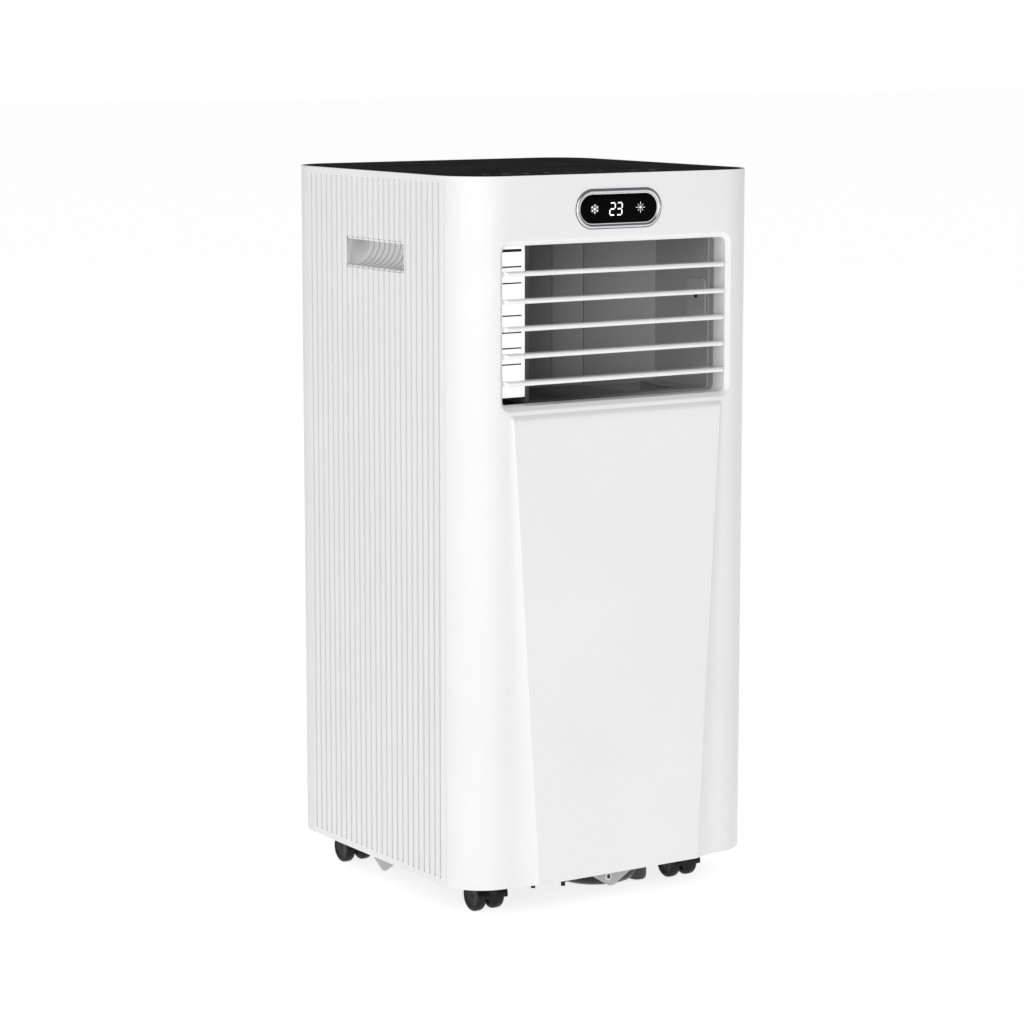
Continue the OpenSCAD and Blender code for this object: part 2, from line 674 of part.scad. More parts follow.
// ---- base, deck and water ----
module base_pan() {
    color([0.13, 0.13, 0.14]) difference() {
        union() {
            difference() {
                translate([0, 0, pan_z0]) linear_extrude(pan_rim) plan(lid_inset);
                translate([0, 0, pan_z0 + pan_t]) linear_extrude(pan_rim) plan(lid_inset + 2.5);
            }
            translate([basin[0], basin[1], 0]) rotate_extrude() polygon(concat(
                [[0, basin_z0]],
                [for (a = [0 : 15 : 90]) [basin_r - 14 + 14 * sin(a), basin_z0 + 14 - 14 * cos(a)]],
                [[basin_r, pan_z0 + 1], [0, pan_z0 + 1]]
            ));
            box(-78, basin[0], -145, -118, 27, pan_z0 + 1);
            translate([sump[0], sump[1], sump[3]]) cylinder(r = sump[2], h = pan_z0 - sump[3] + 1);
            for (p = [[-83, -150, 25], [-40, -138, 18]])
                translate([p[0], p[1], p[2]]) cylinder(r = 2.2, h = pan_z0 - p[2] + 1);
            for (c = casters) translate([c[0], c[1], pan_z0]) cylinder(r = 10, h = 22);
            for (y = [100, 132]) box(-140, 133, y, y + 4, pan_z0 + 1, 64);
            rod_y(drain_x, drain_z, drain_r + 3, rear_y - 28, rear_y + 1);
        }
        rod_y(drain_x, drain_z, drain_r, rear_y - 29, rear_y + 2);
        translate([basin[0], basin[1], basin_z0 + 3]) cylinder(r = basin_r - 6, h = 40);
        translate([sump[0], sump[1], sump[3] + 2.5]) cylinder(r = sump[2] - 2.5, h = 40);
        for (c = casters) translate([c[0], c[1], pan_z0 - 1]) cylinder(r = stem_r, h = 20);
    }
}
// Upright vee plates under three sides of the pan
module pan_brackets() {
    color([0.75, 0.75, 0.76]) {
        along_y(-148.5, -146) vee(11);
        mirror_x() along_x(147.5, 150) vee(22);
    }
}
module vee(centre) {
    polygon([[centre - 40, pan_z0], [centre - 3, 13], [centre + 3, 13], [centre + 40, pan_z0]]);
}
module divider_deck() {
    color([0.85, 0.85, 0.86]) difference() {
        intersection() {
            along_x(-side_x, side_x) polygon([
                [front_y, deck_z_front], [deck_step_y, deck_z_front], [deck_step_y, deck_z_rear],
                [rear_y - 24, deck_z_rear], [rear_y - 24, deck_z_rear + deck_t],
                [deck_step_y - deck_t, deck_z_rear + deck_t], [deck_step_y - deck_t, deck_z_front + deck_t],
                [front_y, deck_z_front + deck_t]
            ]);
            translate([0, 0, z_low]) linear_extrude(body_h) plan(lid_inset);
        }
        box(-side_x, -side_x + 25, 60, 95, deck_z_rear - 1, deck_z_rear + deck_t + 1);
    }
    color([0.85, 0.85, 0.86]) {
        for (y = [102, 134]) box(-140, 125, y, y + 4, deck_z_rear + deck_t - 0.5, 400);
        box(float_pivot[0] + 5, float_pivot[0] + 9, float_pivot[1] - 6, float_pivot[1] + 6,
            deck_z_rear + deck_t - 0.5, float_pivot[2] + 6);
        rod_x(float_pivot[1], float_pivot[2], 2, float_pivot[0] - 4, float_pivot[0] + 6);
    }
}
// Float on a lever, in the drip space beside the evaporator
module float_arm() {
    p = float_pivot;
    color([0.9, 0.9, 0.88]) difference() {
        union() {
            translate([p[0], p[1] + 34, p[2] - 17]) cylinder(r = 10, h = 14);
            box(p[0] - 2, p[0] + 2, p[1], p[1] + 34, p[2] - 5, p[2] - 1);
            rod_x(p[1], p[2], 5, p[0] - 3, p[0] + 3);
        }
        rod_x(p[1], p[2], 2 + fit, p[0] - 4, p[0] + 4);
    }
}
module slinger_wheel() {
    color([0.85, 0.85, 0.86]) difference() {
        union() {
            rod_y(slinger[0], slinger[1], slinger_r - 5, 86, 88);
            rod_y(slinger[0], slinger[1], 7, 82, 92);
            for (i = [0 : 11]) rotate_about_y(slinger[0], slinger[1], i * 30)
                box(slinger[0] + slinger_r - 12, slinger[0] + slinger_r, 84, 91,
                    slinger[1] - 1, slinger[1] + 1);
        }
        rod_y(slinger[0], slinger[1], 3 + fit, 80, 93);
    }
}
module slinger_motor() {
    color([0.6, 0.6, 0.62]) {
        rod_y(slinger[0], slinger[1], 24, 42, 76);
        rod_y(slinger[0], slinger[1], 3, 70, 93);
        box(slinger[0] - 20, slinger[0] + 20, 46, 70, pan_z0 + pan_t, slinger[1] - 10);
    }
}

// ---- electrics ----
module control_box() {
    color([0.82, 0.82, 0.83]) difference() {
        box(ebox[0], ebox[1], ebox[2], ebox[3], ebox[4], ebox[5]);
        box(ebox[0] + 2, ebox[1] - 2, ebox[2] + 2, ebox[3] - 2, ebox[4] + 2, ebox[5] + 1);
    }
}
module main_board() {
    x = ebox[1] - 9;
    color([0.1, 0.35, 0.2]) {
        box(x, x + 1.6, ebox[2] + 6, ebox[3] - 6, ebox[4] + 8, ebox[5] - 8);
        for (y = [-128, -104], z = [300, 350, 400]) box(x - 14, x + 0.5, y, y + 18, z, z + 24);
        for (z = [300, 350, 400, 440]) rod_x(-70, z, 6, x - 20, x + 0.5);
        for (y = [-118, -62], z = [330, 454]) rod_x(y, z, 2.5, x + 1, ebox[1] - 2);
    }
}
module run_capacitor() {
    color([0.8, 0.8, 0.82]) translate([cap[0], cap[1], pan_z0 + pan_t]) {
        cylinder(r = 20, h = 82);
        for (x = [-7, 7]) translate([x - 3, -0.5, 81]) cube([6, 1, 12]);
    }
}
module cord_gland() {
    color([0.1, 0.1, 0.1]) difference() {
        union() {
            rod_y(gland[0], gland[1], gland_r - 0.2, rear_y - 12, rear_y + 1);
            rod_y(gland[0], gland[1], gland_r + 3, rear_y, rear_y + 3);
        }
        rod_y(gland[0], gland[1], 4, rear_y - 13, rear_y + 4);
    }
}

// ---- back openings ----
module grille(z0, z1) {
    mid = (z0 + z1) / 2;
    slats = floor((z1 - z0 - 2 * grille_frame) / slat_pitch);
    low = mid - slats * slat_pitch / 2;
    color([0.93, 0.93, 0.93]) {
        along_y(rear_y - wall, rear_y + 0.6) difference() {
            round_rect(-grille_half, grille_half, z0, z1, 6);
            for (i = [0 : slats - 1], s = [-1, 0, 1])
                translate([s * 68 - 32, low + i * slat_pitch + 1.2]) square([64, slat_pitch - 2.6]);
        }
        along_y(rear_y - wall - 6, rear_y - wall + 0.1) difference() {
            round_rect(-grille_half + 3, grille_half - 3, z0 + 3, z1 - 3, 4);
            round_rect(-grille_half + 5, grille_half - 5, z0 + 5, z1 - 5, 3);
        }
    }
}
module mesh_filter(z0, z1) {
    y = rear_y - wall - 6;
    color([0.4, 0.45, 0.5]) along_y(y, y + 2) difference() {
        round_rect(-grille_half + 5.3, grille_half - 5.3, z0 + 5.3, z1 - 5.3, 3);
        for (s = [-1, 0, 1], t = [0 : 3])
            translate([s * 66 - 30, z0 + 12 + t * (z1 - z0 - 20) / 4])
                square([60, (z1 - z0 - 20) / 4 - 4]);
    }
    color([0.6, 0.65, 0.7]) along_y(y + 0.8, y + 1.2)
        round_rect(-grille_half + 8, grille_half - 8, z0 + 8, z1 - 8, 3);
}
module upper_grille() { grille(upper_z0, upper_z1); }
module upper_filter() { mesh_filter(upper_z0, upper_z1); }
module lower_grille() { grille(lower_z0, lower_z1); }
module lower_filter() { mesh_filter(lower_z0, lower_z1); }
module drain_plug() {
    color([0.1, 0.1, 0.1]) {
        rod_y(drain_x, drain_z, drain_r - fit, rear_y - 14, rear_y + 2);
        rod_y(drain_x, drain_z, drain_r + 3, rear_y + 1.2, rear_y + 4);
    }
}
module screws() {
    color([0.7, 0.7, 0.72]) for (s = rear_screws) {
        rod_y(s[0], s[1], 1.95, rear_y - 12, rear_y + 1);
        rod_y(s[0], s[1], 3.6, rear_y, rear_y + 2);
    }
}

// ---- casters ----
// Hooded fork that swivels on its stem; the axle trails behind the stem
module caster_fork(c) {
    web = wheel_spacing / 2 - wheel_w / 2 - 0.6;
    pocket = wheel_spacing / 2 + wheel_w / 2 + 0.6;
    ay = c[1] + trail;
    color([0.06, 0.06, 0.06]) difference() {
        union() {
            intersection() {
                rod_x(ay, axle_z, hood_r, c[0] - hood_half, c[0] + hood_half);
                box(c[0] - 50, c[0] + 50, c[1] - 50, c[1] + 50, axle_z - 1, hood_top);
            }
            box(c[0] - web, c[0] + web, c[1] - 5, ay + 4, axle_z - 5, hood_top);
            box(c[0] - 12, c[0] + 12, c[1] - 8, ay, wheel_r * 2 + 0.7, hood_top);
            translate([c[0], c[1], hood_top - 4]) cylinder(r = stem_r - fit, h = 24);
            translate([c[0], c[1], hood_top - 2]) cylinder(r = 9, h = 2.6);
        }
        for (s = [-1, 1]) {
            inner = c[0] + s * web;
            outer = c[0] + s * (hood_half + 1);
            rod_x(ay, axle_z, wheel_r + 0.6, min(inner, outer), max(inner, outer));
            box(min(inner, outer), max(inner, outer), ay, ay + 30, axle_z - 20, axle_z + wheel_r - 3);
        }
        rod_x(ay, axle_z, axle_r + fit, c[0] - pocket, c[0] + pocket);
    }
}
module caster_wheels(c) {
    ay = c[1] + trail;
    color([0.1, 0.1, 0.1]) {
        for (s = [-1, 1]) translate([c[0] + s * wheel_spacing / 2, ay, axle_z]) rotate([0, 90, 0])
            rotate_extrude() polygon(concat([[0, -wheel_w / 2]],
                [for (a = [-80 : 20 : 80]) [wheel_r - 4 + 4 * cos(a), (wheel_w / 2) * sin(a) / sin(80)]],
                [[0, wheel_w / 2]]));
        rod_x(ay, axle_z, axle_r, c[0] - wheel_spacing / 2, c[0] + wheel_spacing / 2);
    }
}
module caster_fork_fl() { caster_fork(casters[0]); }
module caster_fork_fr() { caster_fork(casters[1]); }
module caster_fork_rl() { caster_fork(casters[2]); }
module caster_fork_rr() { caster_fork(casters[3]); }
module caster_wheels_fl() { caster_wheels(casters[0]); }
module caster_wheels_fr() { caster_wheels(casters[1]); }
module caster_wheels_rl() { caster_wheels(casters[2]); }
module caster_wheels_rr() { caster_wheels(casters[3]); }

front_panel();
side_panel_left();
side_panel_right();
rear_panel();
top_panel();
base_pan();
pan_brackets();
display_bezel();
display_window();
display_board();
outlet_cheek();
louvre_1();
louvre_2();
louvre_3();
louvre_4();
louvre_5();
louvre_link();
outlet_duct();
evaporator_scroll();
evaporator_wheel();
evaporator_motor();
evaporator_coil();
divider_deck();
float_arm();
condenser_coil();
condenser_scroll();
condenser_wheel();
condenser_motor();
exhaust_duct();
exhaust_collar();
slinger_wheel();
slinger_motor();
compressor();
compressor_grommets();
refrigerant_pipes();
control_box();
main_board();
run_capacitor();
cord_gland();
upper_grille();
upper_filter();
lower_grille();
lower_filter();
drain_plug();
key_power();
key_timer();
key_fan();
key_mode();
key_temperature();
key_swing();
key_night();
caster_fork_fl();
caster_fork_fr();
caster_fork_rl();
caster_fork_rr();
caster_wheels_fl();
caster_wheels_fr();
caster_wheels_rl();
caster_wheels_rr();
screws();
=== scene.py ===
# %% [markdown]
# # A portable air conditioner, finished in Blender
# The moving model arrives from CAD as a fixed frame: sixty named nodes on rigid bodies, in metres,
# with +Z up and the louvred front facing -Y. This lesson dresses it. Shells that catch the light are
# worked out again with numpy so that their edges are round, small trim is added, and every node gets
# a material made of nodes. Nothing here moves a CAD part.

# %% Load the frame
import json
import math
import bmesh
import bpy
import numpy as np
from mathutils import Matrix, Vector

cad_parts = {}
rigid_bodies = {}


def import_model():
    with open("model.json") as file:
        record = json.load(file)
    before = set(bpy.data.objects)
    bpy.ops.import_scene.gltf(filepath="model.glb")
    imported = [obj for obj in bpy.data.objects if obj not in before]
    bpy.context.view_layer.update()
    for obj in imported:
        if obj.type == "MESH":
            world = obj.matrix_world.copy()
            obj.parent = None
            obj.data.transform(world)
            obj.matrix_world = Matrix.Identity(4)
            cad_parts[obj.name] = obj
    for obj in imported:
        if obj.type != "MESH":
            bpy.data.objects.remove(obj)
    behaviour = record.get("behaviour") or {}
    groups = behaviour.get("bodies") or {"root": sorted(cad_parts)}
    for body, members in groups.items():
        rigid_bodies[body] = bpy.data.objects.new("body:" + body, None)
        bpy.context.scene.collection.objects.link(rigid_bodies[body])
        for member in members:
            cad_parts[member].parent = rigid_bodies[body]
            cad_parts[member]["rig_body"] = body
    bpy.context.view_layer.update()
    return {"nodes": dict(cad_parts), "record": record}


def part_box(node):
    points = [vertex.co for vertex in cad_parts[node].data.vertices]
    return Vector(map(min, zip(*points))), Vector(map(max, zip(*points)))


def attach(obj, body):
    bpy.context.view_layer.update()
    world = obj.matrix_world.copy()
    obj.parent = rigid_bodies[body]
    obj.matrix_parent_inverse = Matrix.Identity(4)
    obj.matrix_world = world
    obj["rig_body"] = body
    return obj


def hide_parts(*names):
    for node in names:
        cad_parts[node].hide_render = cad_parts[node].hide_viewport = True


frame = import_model()
nodes = frame["nodes"]

# %% [markdown]
# ## Where things are
# A piece has to land where CAD says, so its places are read from the nodes' boxes. Only shapes that a
# box can't tell, such as a radius, are given here as values.

# %% Places from the frame
side_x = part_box("side_panel_right")[1].x
z_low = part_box("rear_panel")[0].z
z_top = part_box("rear_panel")[1].z
front_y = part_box("louvre_1")[0].y
apron_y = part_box("front_panel")[0].y
rear_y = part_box("rear_panel")[1].y
front_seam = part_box("front_panel")[1].y
side_y0, side_y1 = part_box("side_panel_right")[0].y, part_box("side_panel_right")[1].y
corner_r = 0.047
wall = 0.003
edge_r = 0.0006
flat_x = side_x - corner_r
corner_y = front_y + corner_r
print(f"cabinet {2 * side_x:.3f} wide, {rear_y - front_y:.3f} deep, {z_low:.3f} to {z_top:.3f} high")

# %% [markdown]
# ## The camera
# The object stands turned about a third of a right angle, seen from a little above by a long lens.
# The camera comes first, because it decides which details are worth making.

# %% Camera
def placed(name, data):
    """A new object in the scene."""
    made = bpy.data.objects.new(name, data)
    bpy.context.scene.collection.objects.link(made)
    return made


view_turn = math.radians(-32.98)
view_drop = math.radians(8.657)
camera_data = bpy.data.cameras.new("camera")
camera_data.lens = 112.51
camera_data.sensor_width = 36
camera = placed("camera", camera_data)
camera.location = (-1.7415, -2.6681, 0.8527)
camera.rotation_euler = (math.pi / 2 - view_drop, 0, view_turn)
bpy.context.scene.camera = camera
bpy.context.scene.view_settings.view_transform = "Standard"
print("camera at", tuple(round(v, 3) for v in camera.location))

# %% [markdown]
# ## From arrays to meshes
# Nearly every moulded surface is a grid: a shape is a function of two parameters, and neighbours on
# the grid make quads. The whole grid is one numpy array, so no loop walks over its points. Open
# sheets get their thickness from a Solidify modifier and their round rims from a Bevel.

# %% Mesh helpers
def grid(points, close_rows=False, close_cols=False):
    """Rows by columns of points become quads. A closed direction joins its last line to its first."""
    rows, cols = points.shape[:2]
    i = np.arange(rows if close_rows else rows - 1)[:, None]
    j = np.arange(cols if close_cols else cols - 1)[None, :]
    up, across = (i + 1) % rows, (j + 1) % cols
    corners = np.stack([i * cols + j, i * cols + across, up * cols + across, up * cols + j], axis=-1)
    return points.reshape(-1, 3), corners.reshape(-1, 4)


def plate(points):
    """One flat face whose corners are the points in order."""
    points = np.asarray(points, float)
    return points, np.arange(len(points))[None, :]


def to_mesh(name, parts):
    """Joins (points, faces) parts into one mesh, welds coinciding points and turns faces outwards."""
    starts = np.cumsum([0] + [len(p) for p, _ in parts])
    faces = [face for (_, f), start in zip(parts, starts) for face in (f + start).tolist()]
    mesh = bpy.data.meshes.new(name)
    mesh.from_pydata(np.concatenate([p for p, _ in parts]), [], faces)
    work = bmesh.new()
    work.from_mesh(mesh)
    bmesh.ops.remove_doubles(work, verts=work.verts, dist=2e-6)
    bmesh.ops.dissolve_degenerate(work, edges=work.edges, dist=1e-7)
    bmesh.ops.recalc_face_normals(work, faces=work.faces)
    work.to_mesh(mesh)
    work.free()
    return mesh


def round_edges(made, width, segments, angle):
    """Rounds the edges that are sharper than the angle."""
    bevel = made.modifiers.new("rim", "BEVEL")
    bevel.width = width
    bevel.segments = segments
    bevel.limit_method = "ANGLE"
    bevel.angle_limit = math.radians(angle)
    bevel.harden_normals = True


def piece(name, parts, home, finish, slot=None, sharp=30, thick=0, rim=0, replaces=()):
    """Parts joined into one piece on the body of a CAD node, smooth but for edges past the sharp angle."""
    body = nodes[home]["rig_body"]
    slot = slot or finish
    mesh = to_mesh(name, parts)
    mesh.shade_smooth()
    mesh.set_sharp_from_angle(angle=math.radians(sharp))
    made = placed(name, mesh)
    mesh.materials.append(finishes[finish])
    if thick:
        solid = made.modifiers.new("wall", "SOLIDIFY")
        solid.thickness = thick
        solid.offset = -1
    if rim:
        round_edges(made, rim, 2, 60)
    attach(made, body)
    if replaces:
        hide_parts(*replaces)
    return mesh


def stack(*coordinates):
    """Broadcasts three arrays against each other into points."""
    return np.stack(np.broadcast_arrays(*coordinates), axis=-1).astype(float)


def turned(profile, centre, axis, start=0.0, sweep=2 * math.pi, count=48):
    """Turns a profile of (radius r, distance along) about an axis: r cos a and r sin a across it."""
    full = abs(sweep - 2 * math.pi) < 1e-9
    angle = start + np.linspace(0, sweep, count + (0 if full else 1), endpoint=not full)
    profile = np.asarray(profile, float)
    first, second, along = {"X": (1, 2, 0), "Y": (2, 0, 1), "Z": (0, 1, 2)}[axis]
    points = np.zeros((len(angle), len(profile), 3))
    points[..., first] = centre[first] + np.cos(angle)[:, None] * profile[None, :, 0]
    points[..., second] = centre[second] + np.sin(angle)[:, None] * profile[None, :, 0]
    points[..., along] = centre[along] + profile[None, :, 1]
    return grid(points, close_rows=full)


def box_part(low, high):
    """The six faces of a box between two corners."""
    x, y, z = np.array([low, high], float).T
    corners = stack(x[[0, 1, 1, 0] * 2], y[[0, 0, 1, 1] * 2], z[[0] * 4 + [1] * 4])
    sides = np.array([[0, 1, 2, 3], [4, 5, 6, 7], [0, 1, 5, 4], [1, 2, 6, 5], [2, 3, 7, 6], [3, 0, 4, 7]])
    return corners, sides


def round_rect(half_w, half_h, r, per_corner=8, per_side=6):
    """Outline and outward normals of a rounded rectangle about 0: quarter circles and straight runs."""
    quarter = np.linspace(0, math.pi / 2, per_corner + 1)
    run = np.linspace(0, 1, per_side + 2)[1:-1, None]
    points, normals = [], []
    for k, (sx, sy) in enumerate([(1, 1), (-1, 1), (-1, -1), (1, -1)]):
        angle = quarter + k * math.pi / 2
        normal = np.stack([np.cos(angle), np.sin(angle)], axis=-1)
        centre = np.array([sx * (half_w - r), sy * (half_h - r)])
        points.append(centre + r * normal)
        normals.append(normal)
        nx, ny = [(-1, 1), (-1, -1), (1, -1), (1, 1)][k]
        following = np.array([nx * (half_w - r), ny * (half_h - r)]) + r * normal[-1]
        points.append(points[-1][-1] * (1 - run) + following * run)
        normals.append(np.repeat(normal[-1:], per_side, axis=0))
    return np.concatenate(points), np.concatenate(normals)


def swept(outline, normals, profile, place):
    """Carries a profile of (outwards, forwards) round an outline. place makes points of (u, v, forwards)."""
    profile = np.asarray(profile, float)
    u = outline[:, None, 0] + normals[:, None, 0] * profile[None, :, 0]
    v = outline[:, None, 1] + normals[:, None, 1] * profile[None, :, 0]
    return grid(place(u, v, np.broadcast_to(profile[None, :, 1], u.shape)), close_rows=True)


def arc(centre, r, start, end, count):
    """Points of a circular arc, angles in degrees."""
    angle = np.radians(np.linspace(start, end, count))
    return np.stack([centre[0] + r * np.cos(angle), centre[1] + r * np.sin(angle)], axis=-1)


print("helpers ready")

# %% [markdown]
# ## Materials
# A moulded plastic is one colour to a careless eye. It has a fine grain from the tool, a slight
# mottle, and patches that are duller where hands and dust have been. One function makes all three
# from noise in object coordinates, which lie still on a part whatever its pose.

# %% Node helpers
for old in list(bpy.data.materials):
    bpy.data.materials.remove(old)


def set_inputs(made, **inputs):
    """Sets a shader node's input sockets by name, with _ for a space."""
    for key, value in inputs.items():
        made.inputs[key.replace("_", " ")].default_value = value


def node(tree, kind, settings=None, **inputs):
    """Adds a shader node, with its own settings and its input sockets."""
    made = tree.nodes.new(kind)
    for key, value in (settings or {}).items():
        setattr(made, key, value)
    set_inputs(made, **inputs)
    return made


def start_material(name):
    """An empty material: its tree, its Principled shader and its object coordinates."""
    material = bpy.data.materials.new(name)
    material.use_nodes = True
    tree = material.node_tree
    place = node(tree, "ShaderNodeTexCoord").outputs["Object"]
    return material, tree, tree.nodes["Principled BSDF"], place


def noise(tree, place, scale, detail=2.0, stretch=None):
    """Noise with so many features a metre. A stretch scales the axes first and draws it into lines."""
    if stretch:
        mapping = node(tree, "ShaderNodeMapping", Scale=stretch)
        tree.links.new(place, mapping.inputs["Vector"])
        place = mapping.outputs["Vector"]
    made = node(tree, "ShaderNodeTexNoise", Scale=scale, Detail=detail)
    tree.links.new(place, made.inputs["Vector"])
    return made.outputs["Fac"]


def spread(tree, value, low, high, start=0.3, end=0.7):
    """Maps a pattern's start to end onto low to high."""
    made = node(tree, "ShaderNodeMapRange", From_Min=start, From_Max=end, To_Min=low, To_Max=high)
    tree.links.new(value, made.inputs["Value"])
    return made.outputs["Result"]


def tinted(tree, value, dark, light, start=0.3, end=0.7):
    """Turns a pattern into a colour between dark and light."""
    ramp = node(tree, "ShaderNodeValToRGB")
    for stop, at, shade in zip(ramp.color_ramp.elements, (start, end), (dark, light)):
        stop.position = at
        stop.color = (*shade, 1)
    tree.links.new(value, ramp.inputs["Fac"])
    return ramp.outputs["Color"]


def bumped(tree, shader, height, distance):
    """Puts a height pattern, in metres, on the shader's normal."""
    made = node(tree, "ShaderNodeBump", Strength=1.0, Distance=distance)
    tree.links.new(height, made.inputs["Height"])
    tree.links.new(made.outputs["Normal"], shader.inputs["Normal"])


def both(tree, a, b, operation):
    """One number from two patterns."""
    made = node(tree, "ShaderNodeMath", {"operation": operation})
    tree.links.new(a, made.inputs[0])
    tree.links.new(b, made.inputs[1])
    return made.outputs["Value"]


def coordinates(tree):
    """The X, Y and Z outputs of a finished material's object coordinates."""
    place = next(n for n in tree.nodes if n.type == "TEX_COORD").outputs["Object"]
    split = node(tree, "ShaderNodeSeparateXYZ")
    tree.links.new(place, split.inputs["Vector"])
    return split.outputs


def shaded(color, factor):
    """A colour made lighter or darker, kept within 0 to 1."""
    return tuple(min(1.0, c * factor) for c in color)


def grey(value):
    return (value, value, value)


# %% Moulded plastic, and what is made like it
# Patches and dull spots a metre, and the roughness of a clear coat.
patch_scale = 7
dull_scale = 23
coat_rough = 0.08


def moulded(name, color, rough, grain=1400, depth=0.00002, mottle=0.015, dull=0.05, metal=0.0, coat=0.0,
            specular=0.5, stretch=None):
    """Grain as a bump, mottle as a tint and dull patches as roughness, each from its own noise."""
    material, tree, shader, place = start_material(name)
    set_inputs(shader, Metallic=metal, Coat_Weight=coat, Coat_Roughness=coat_rough,
               Specular_IOR_Level=specular)
    patches = noise(tree, place, patch_scale, 3)
    tint = tinted(tree, patches, shaded(color, 1 - mottle), shaded(color, 1 + mottle))
    tree.links.new(tint, shader.inputs["Base Color"])
    dullness = spread(tree, noise(tree, place, dull_scale, 3), max(0.02, rough - dull), rough + dull)
    tree.links.new(dullness, shader.inputs["Roughness"])
    bumped(tree, shader, noise(tree, place, grain, 2, stretch), depth)
    return material


# Each row is (colour, roughness, whatever differs from an ordinary moulding).
moulded_finishes = {
    "shell_white": (grey(0.86), 0.34, dict(grain=1100, depth=0.000008, coat=0.15)),
    "rear_white": (grey(0.85), 0.48, dict(grain=1800, depth=0.00002)),
    "grille_white": (grey(0.84), 0.45, dict(grain=1800, depth=0.00002)),
    "collar_white": (grey(0.84), 0.4, dict(grain=1500)),
    "louvre_white": (grey(0.88), 0.22, dict(grain=900, depth=0.000006, coat=0.3)),
    # The cheek's white is lighter than the shell's: painted light, standing for light bounced about in the
    # outlet.
    "cheek_white": (grey(0.92), 0.35, dict(grain=1500)),
    "lid_black": ((0.02, 0.02, 0.022), 0.5, dict(grain=2400, depth=0.00001, mottle=0.08, specular=0.01)),
    "key_black": ((0.012, 0.012, 0.014), 0.45, dict(grain=2400, depth=0.00001, mottle=0.08, specular=0.02)),
    "fan_black": (grey(0.03), 0.45, dict(mottle=0.1)),
    "pan_black": (grey(0.014), 0.3, dict(mottle=0.12, specular=0.25)),
    "bracket_grey": (grey(0.45), 0.35, dict(mottle=0.12)),
    "deck_plastic": ((0.62, 0.62, 0.63), 0.75, dict(grain=500, depth=0.0001, mottle=0.06)),
    "float_white": ((0.8, 0.8, 0.78), 0.4, dict()),
    "caster_black": (grey(0.008), 0.3, dict(grain=1600, depth=0.000012, mottle=0.15, specular=0.2)),
    "wheel_black": (grey(0.009), 0.4, dict(grain=1200, mottle=0.15, specular=0.2)),
    "rubber_black": (grey(0.02), 0.7, dict(grain=1600, depth=0.00004, mottle=0.15)),
    "compressor_black": (grey(0.015), 0.3, dict(grain=600, depth=0.00005, coat=0.3)),
    "motor_steel": ((0.42, 0.42, 0.44), 0.35, dict(grain=900, metal=1, mottle=0.08)),
    "box_steel": ((0.6, 0.61, 0.63), 0.4, dict(grain=300, metal=1, mottle=0.1)),
    "screw_steel": ((0.55, 0.55, 0.57), 0.28, dict(grain=1500, metal=1, mottle=0.08)),
    "capacitor_can": ((0.7, 0.7, 0.72), 0.25, dict(metal=1, stretch=(1, 1, 0.02))),
    "copper_tube": ((0.72, 0.36, 0.2), 0.28, dict(metal=1, mottle=0.12)),
    "chrome_trim": ((0.62, 0.62, 0.64), 0.1, dict(grain=800, depth=0.000002, dull=0.03, metal=1)),
    "display_glass": (grey(0.002), 0.06, dict(depth=0.000001, mottle=0.2, dull=0.02, specular=0.02)),
}
for name, (color, rough, extra) in moulded_finishes.items():
    moulded(name, color, rough, **extra)
# Light that bounces about in the outlet brightens its white cheek. A weak glow stands for it.
set_inputs(bpy.data.materials["cheek_white"].node_tree.nodes["Principled BSDF"],
           Emission_Color=(1, 1, 1, 1), Emission_Strength=0.45)
print(len(bpy.data.materials), "materials so far")


# %% [markdown]
# The plastic of the sides is painted a little darker in its grooves: painted shade, standing for the shade
# that falls into them. The mask is the distance to the nearest groove's centre line, which a ping-pong of the
# Y coordinate gives.

# %% Side plastic with shaded grooves
def grooved(name, color, rough, dark, first, pitch, half, z_range):
    """Plastic whose tint falls to dark in a groove, as painted shade: distance = pingpong((y - first) /
    pitch, 1/2).
    """
    material = moulded(name, color, rough, grain=1800, depth=0.00002)
    tree = material.node_tree
    shader = tree.nodes["Principled BSDF"]
    plain = shader.inputs["Base Color"].links[0].from_socket
    axes = coordinates(tree)

    def step(operation, value, *constants):
        made = node(tree, "ShaderNodeMath", {"operation": operation})
        tree.links.new(value, made.inputs[0])
        for k, constant in enumerate(constants):
            made.inputs[k + 1].default_value = constant
        return made.outputs["Value"]

    turns = step("DIVIDE", step("SUBTRACT", axes["Y"], first), pitch)
    away = step("PINGPONG", turns, 0.5)
    above = step("ABSOLUTE", step("SUBTRACT", axes["Z"], sum(z_range) / 2))
    outside = step("GREATER_THAN", above, (z_range[1] - z_range[0]) / 2)
    # Painted shade: the colour falls to the dark share at each groove's middle.
    factor = spread(tree, away, dark, 1.0, 0.6 * half / pitch, 1.1 * half / pitch)
    lifted = both(tree, factor, outside, "MAXIMUM")
    mix = node(tree, "ShaderNodeMix", {"data_type": "RGBA", "blend_type": "MULTIPLY"})
    mix.inputs["Factor"].default_value = 1
    tree.links.new(plain, mix.inputs[6])
    tree.links.new(lifted, mix.inputs[7])
    tree.links.new(mix.outputs[2], shader.inputs["Base Color"])
    return material


# %% [markdown]
# Some finishes repeat with a pitch: the fins of a coil, the threads of a filter, the tracks of a
# circuit board. A wave's bands lie 2 pi / (20 scale) apart, so the scale follows from the pitch.

# %% Finishes with a pitch
def bands(tree, place, pitch, direction):
    """A wave across one axis with its crests one pitch apart."""
    made = node(tree, "ShaderNodeTexWave", {"wave_type": "BANDS", "bands_direction": direction},
                Scale=math.pi / (10 * pitch))
    tree.links.new(place, made.inputs["Vector"])
    return made.outputs["Fac"]


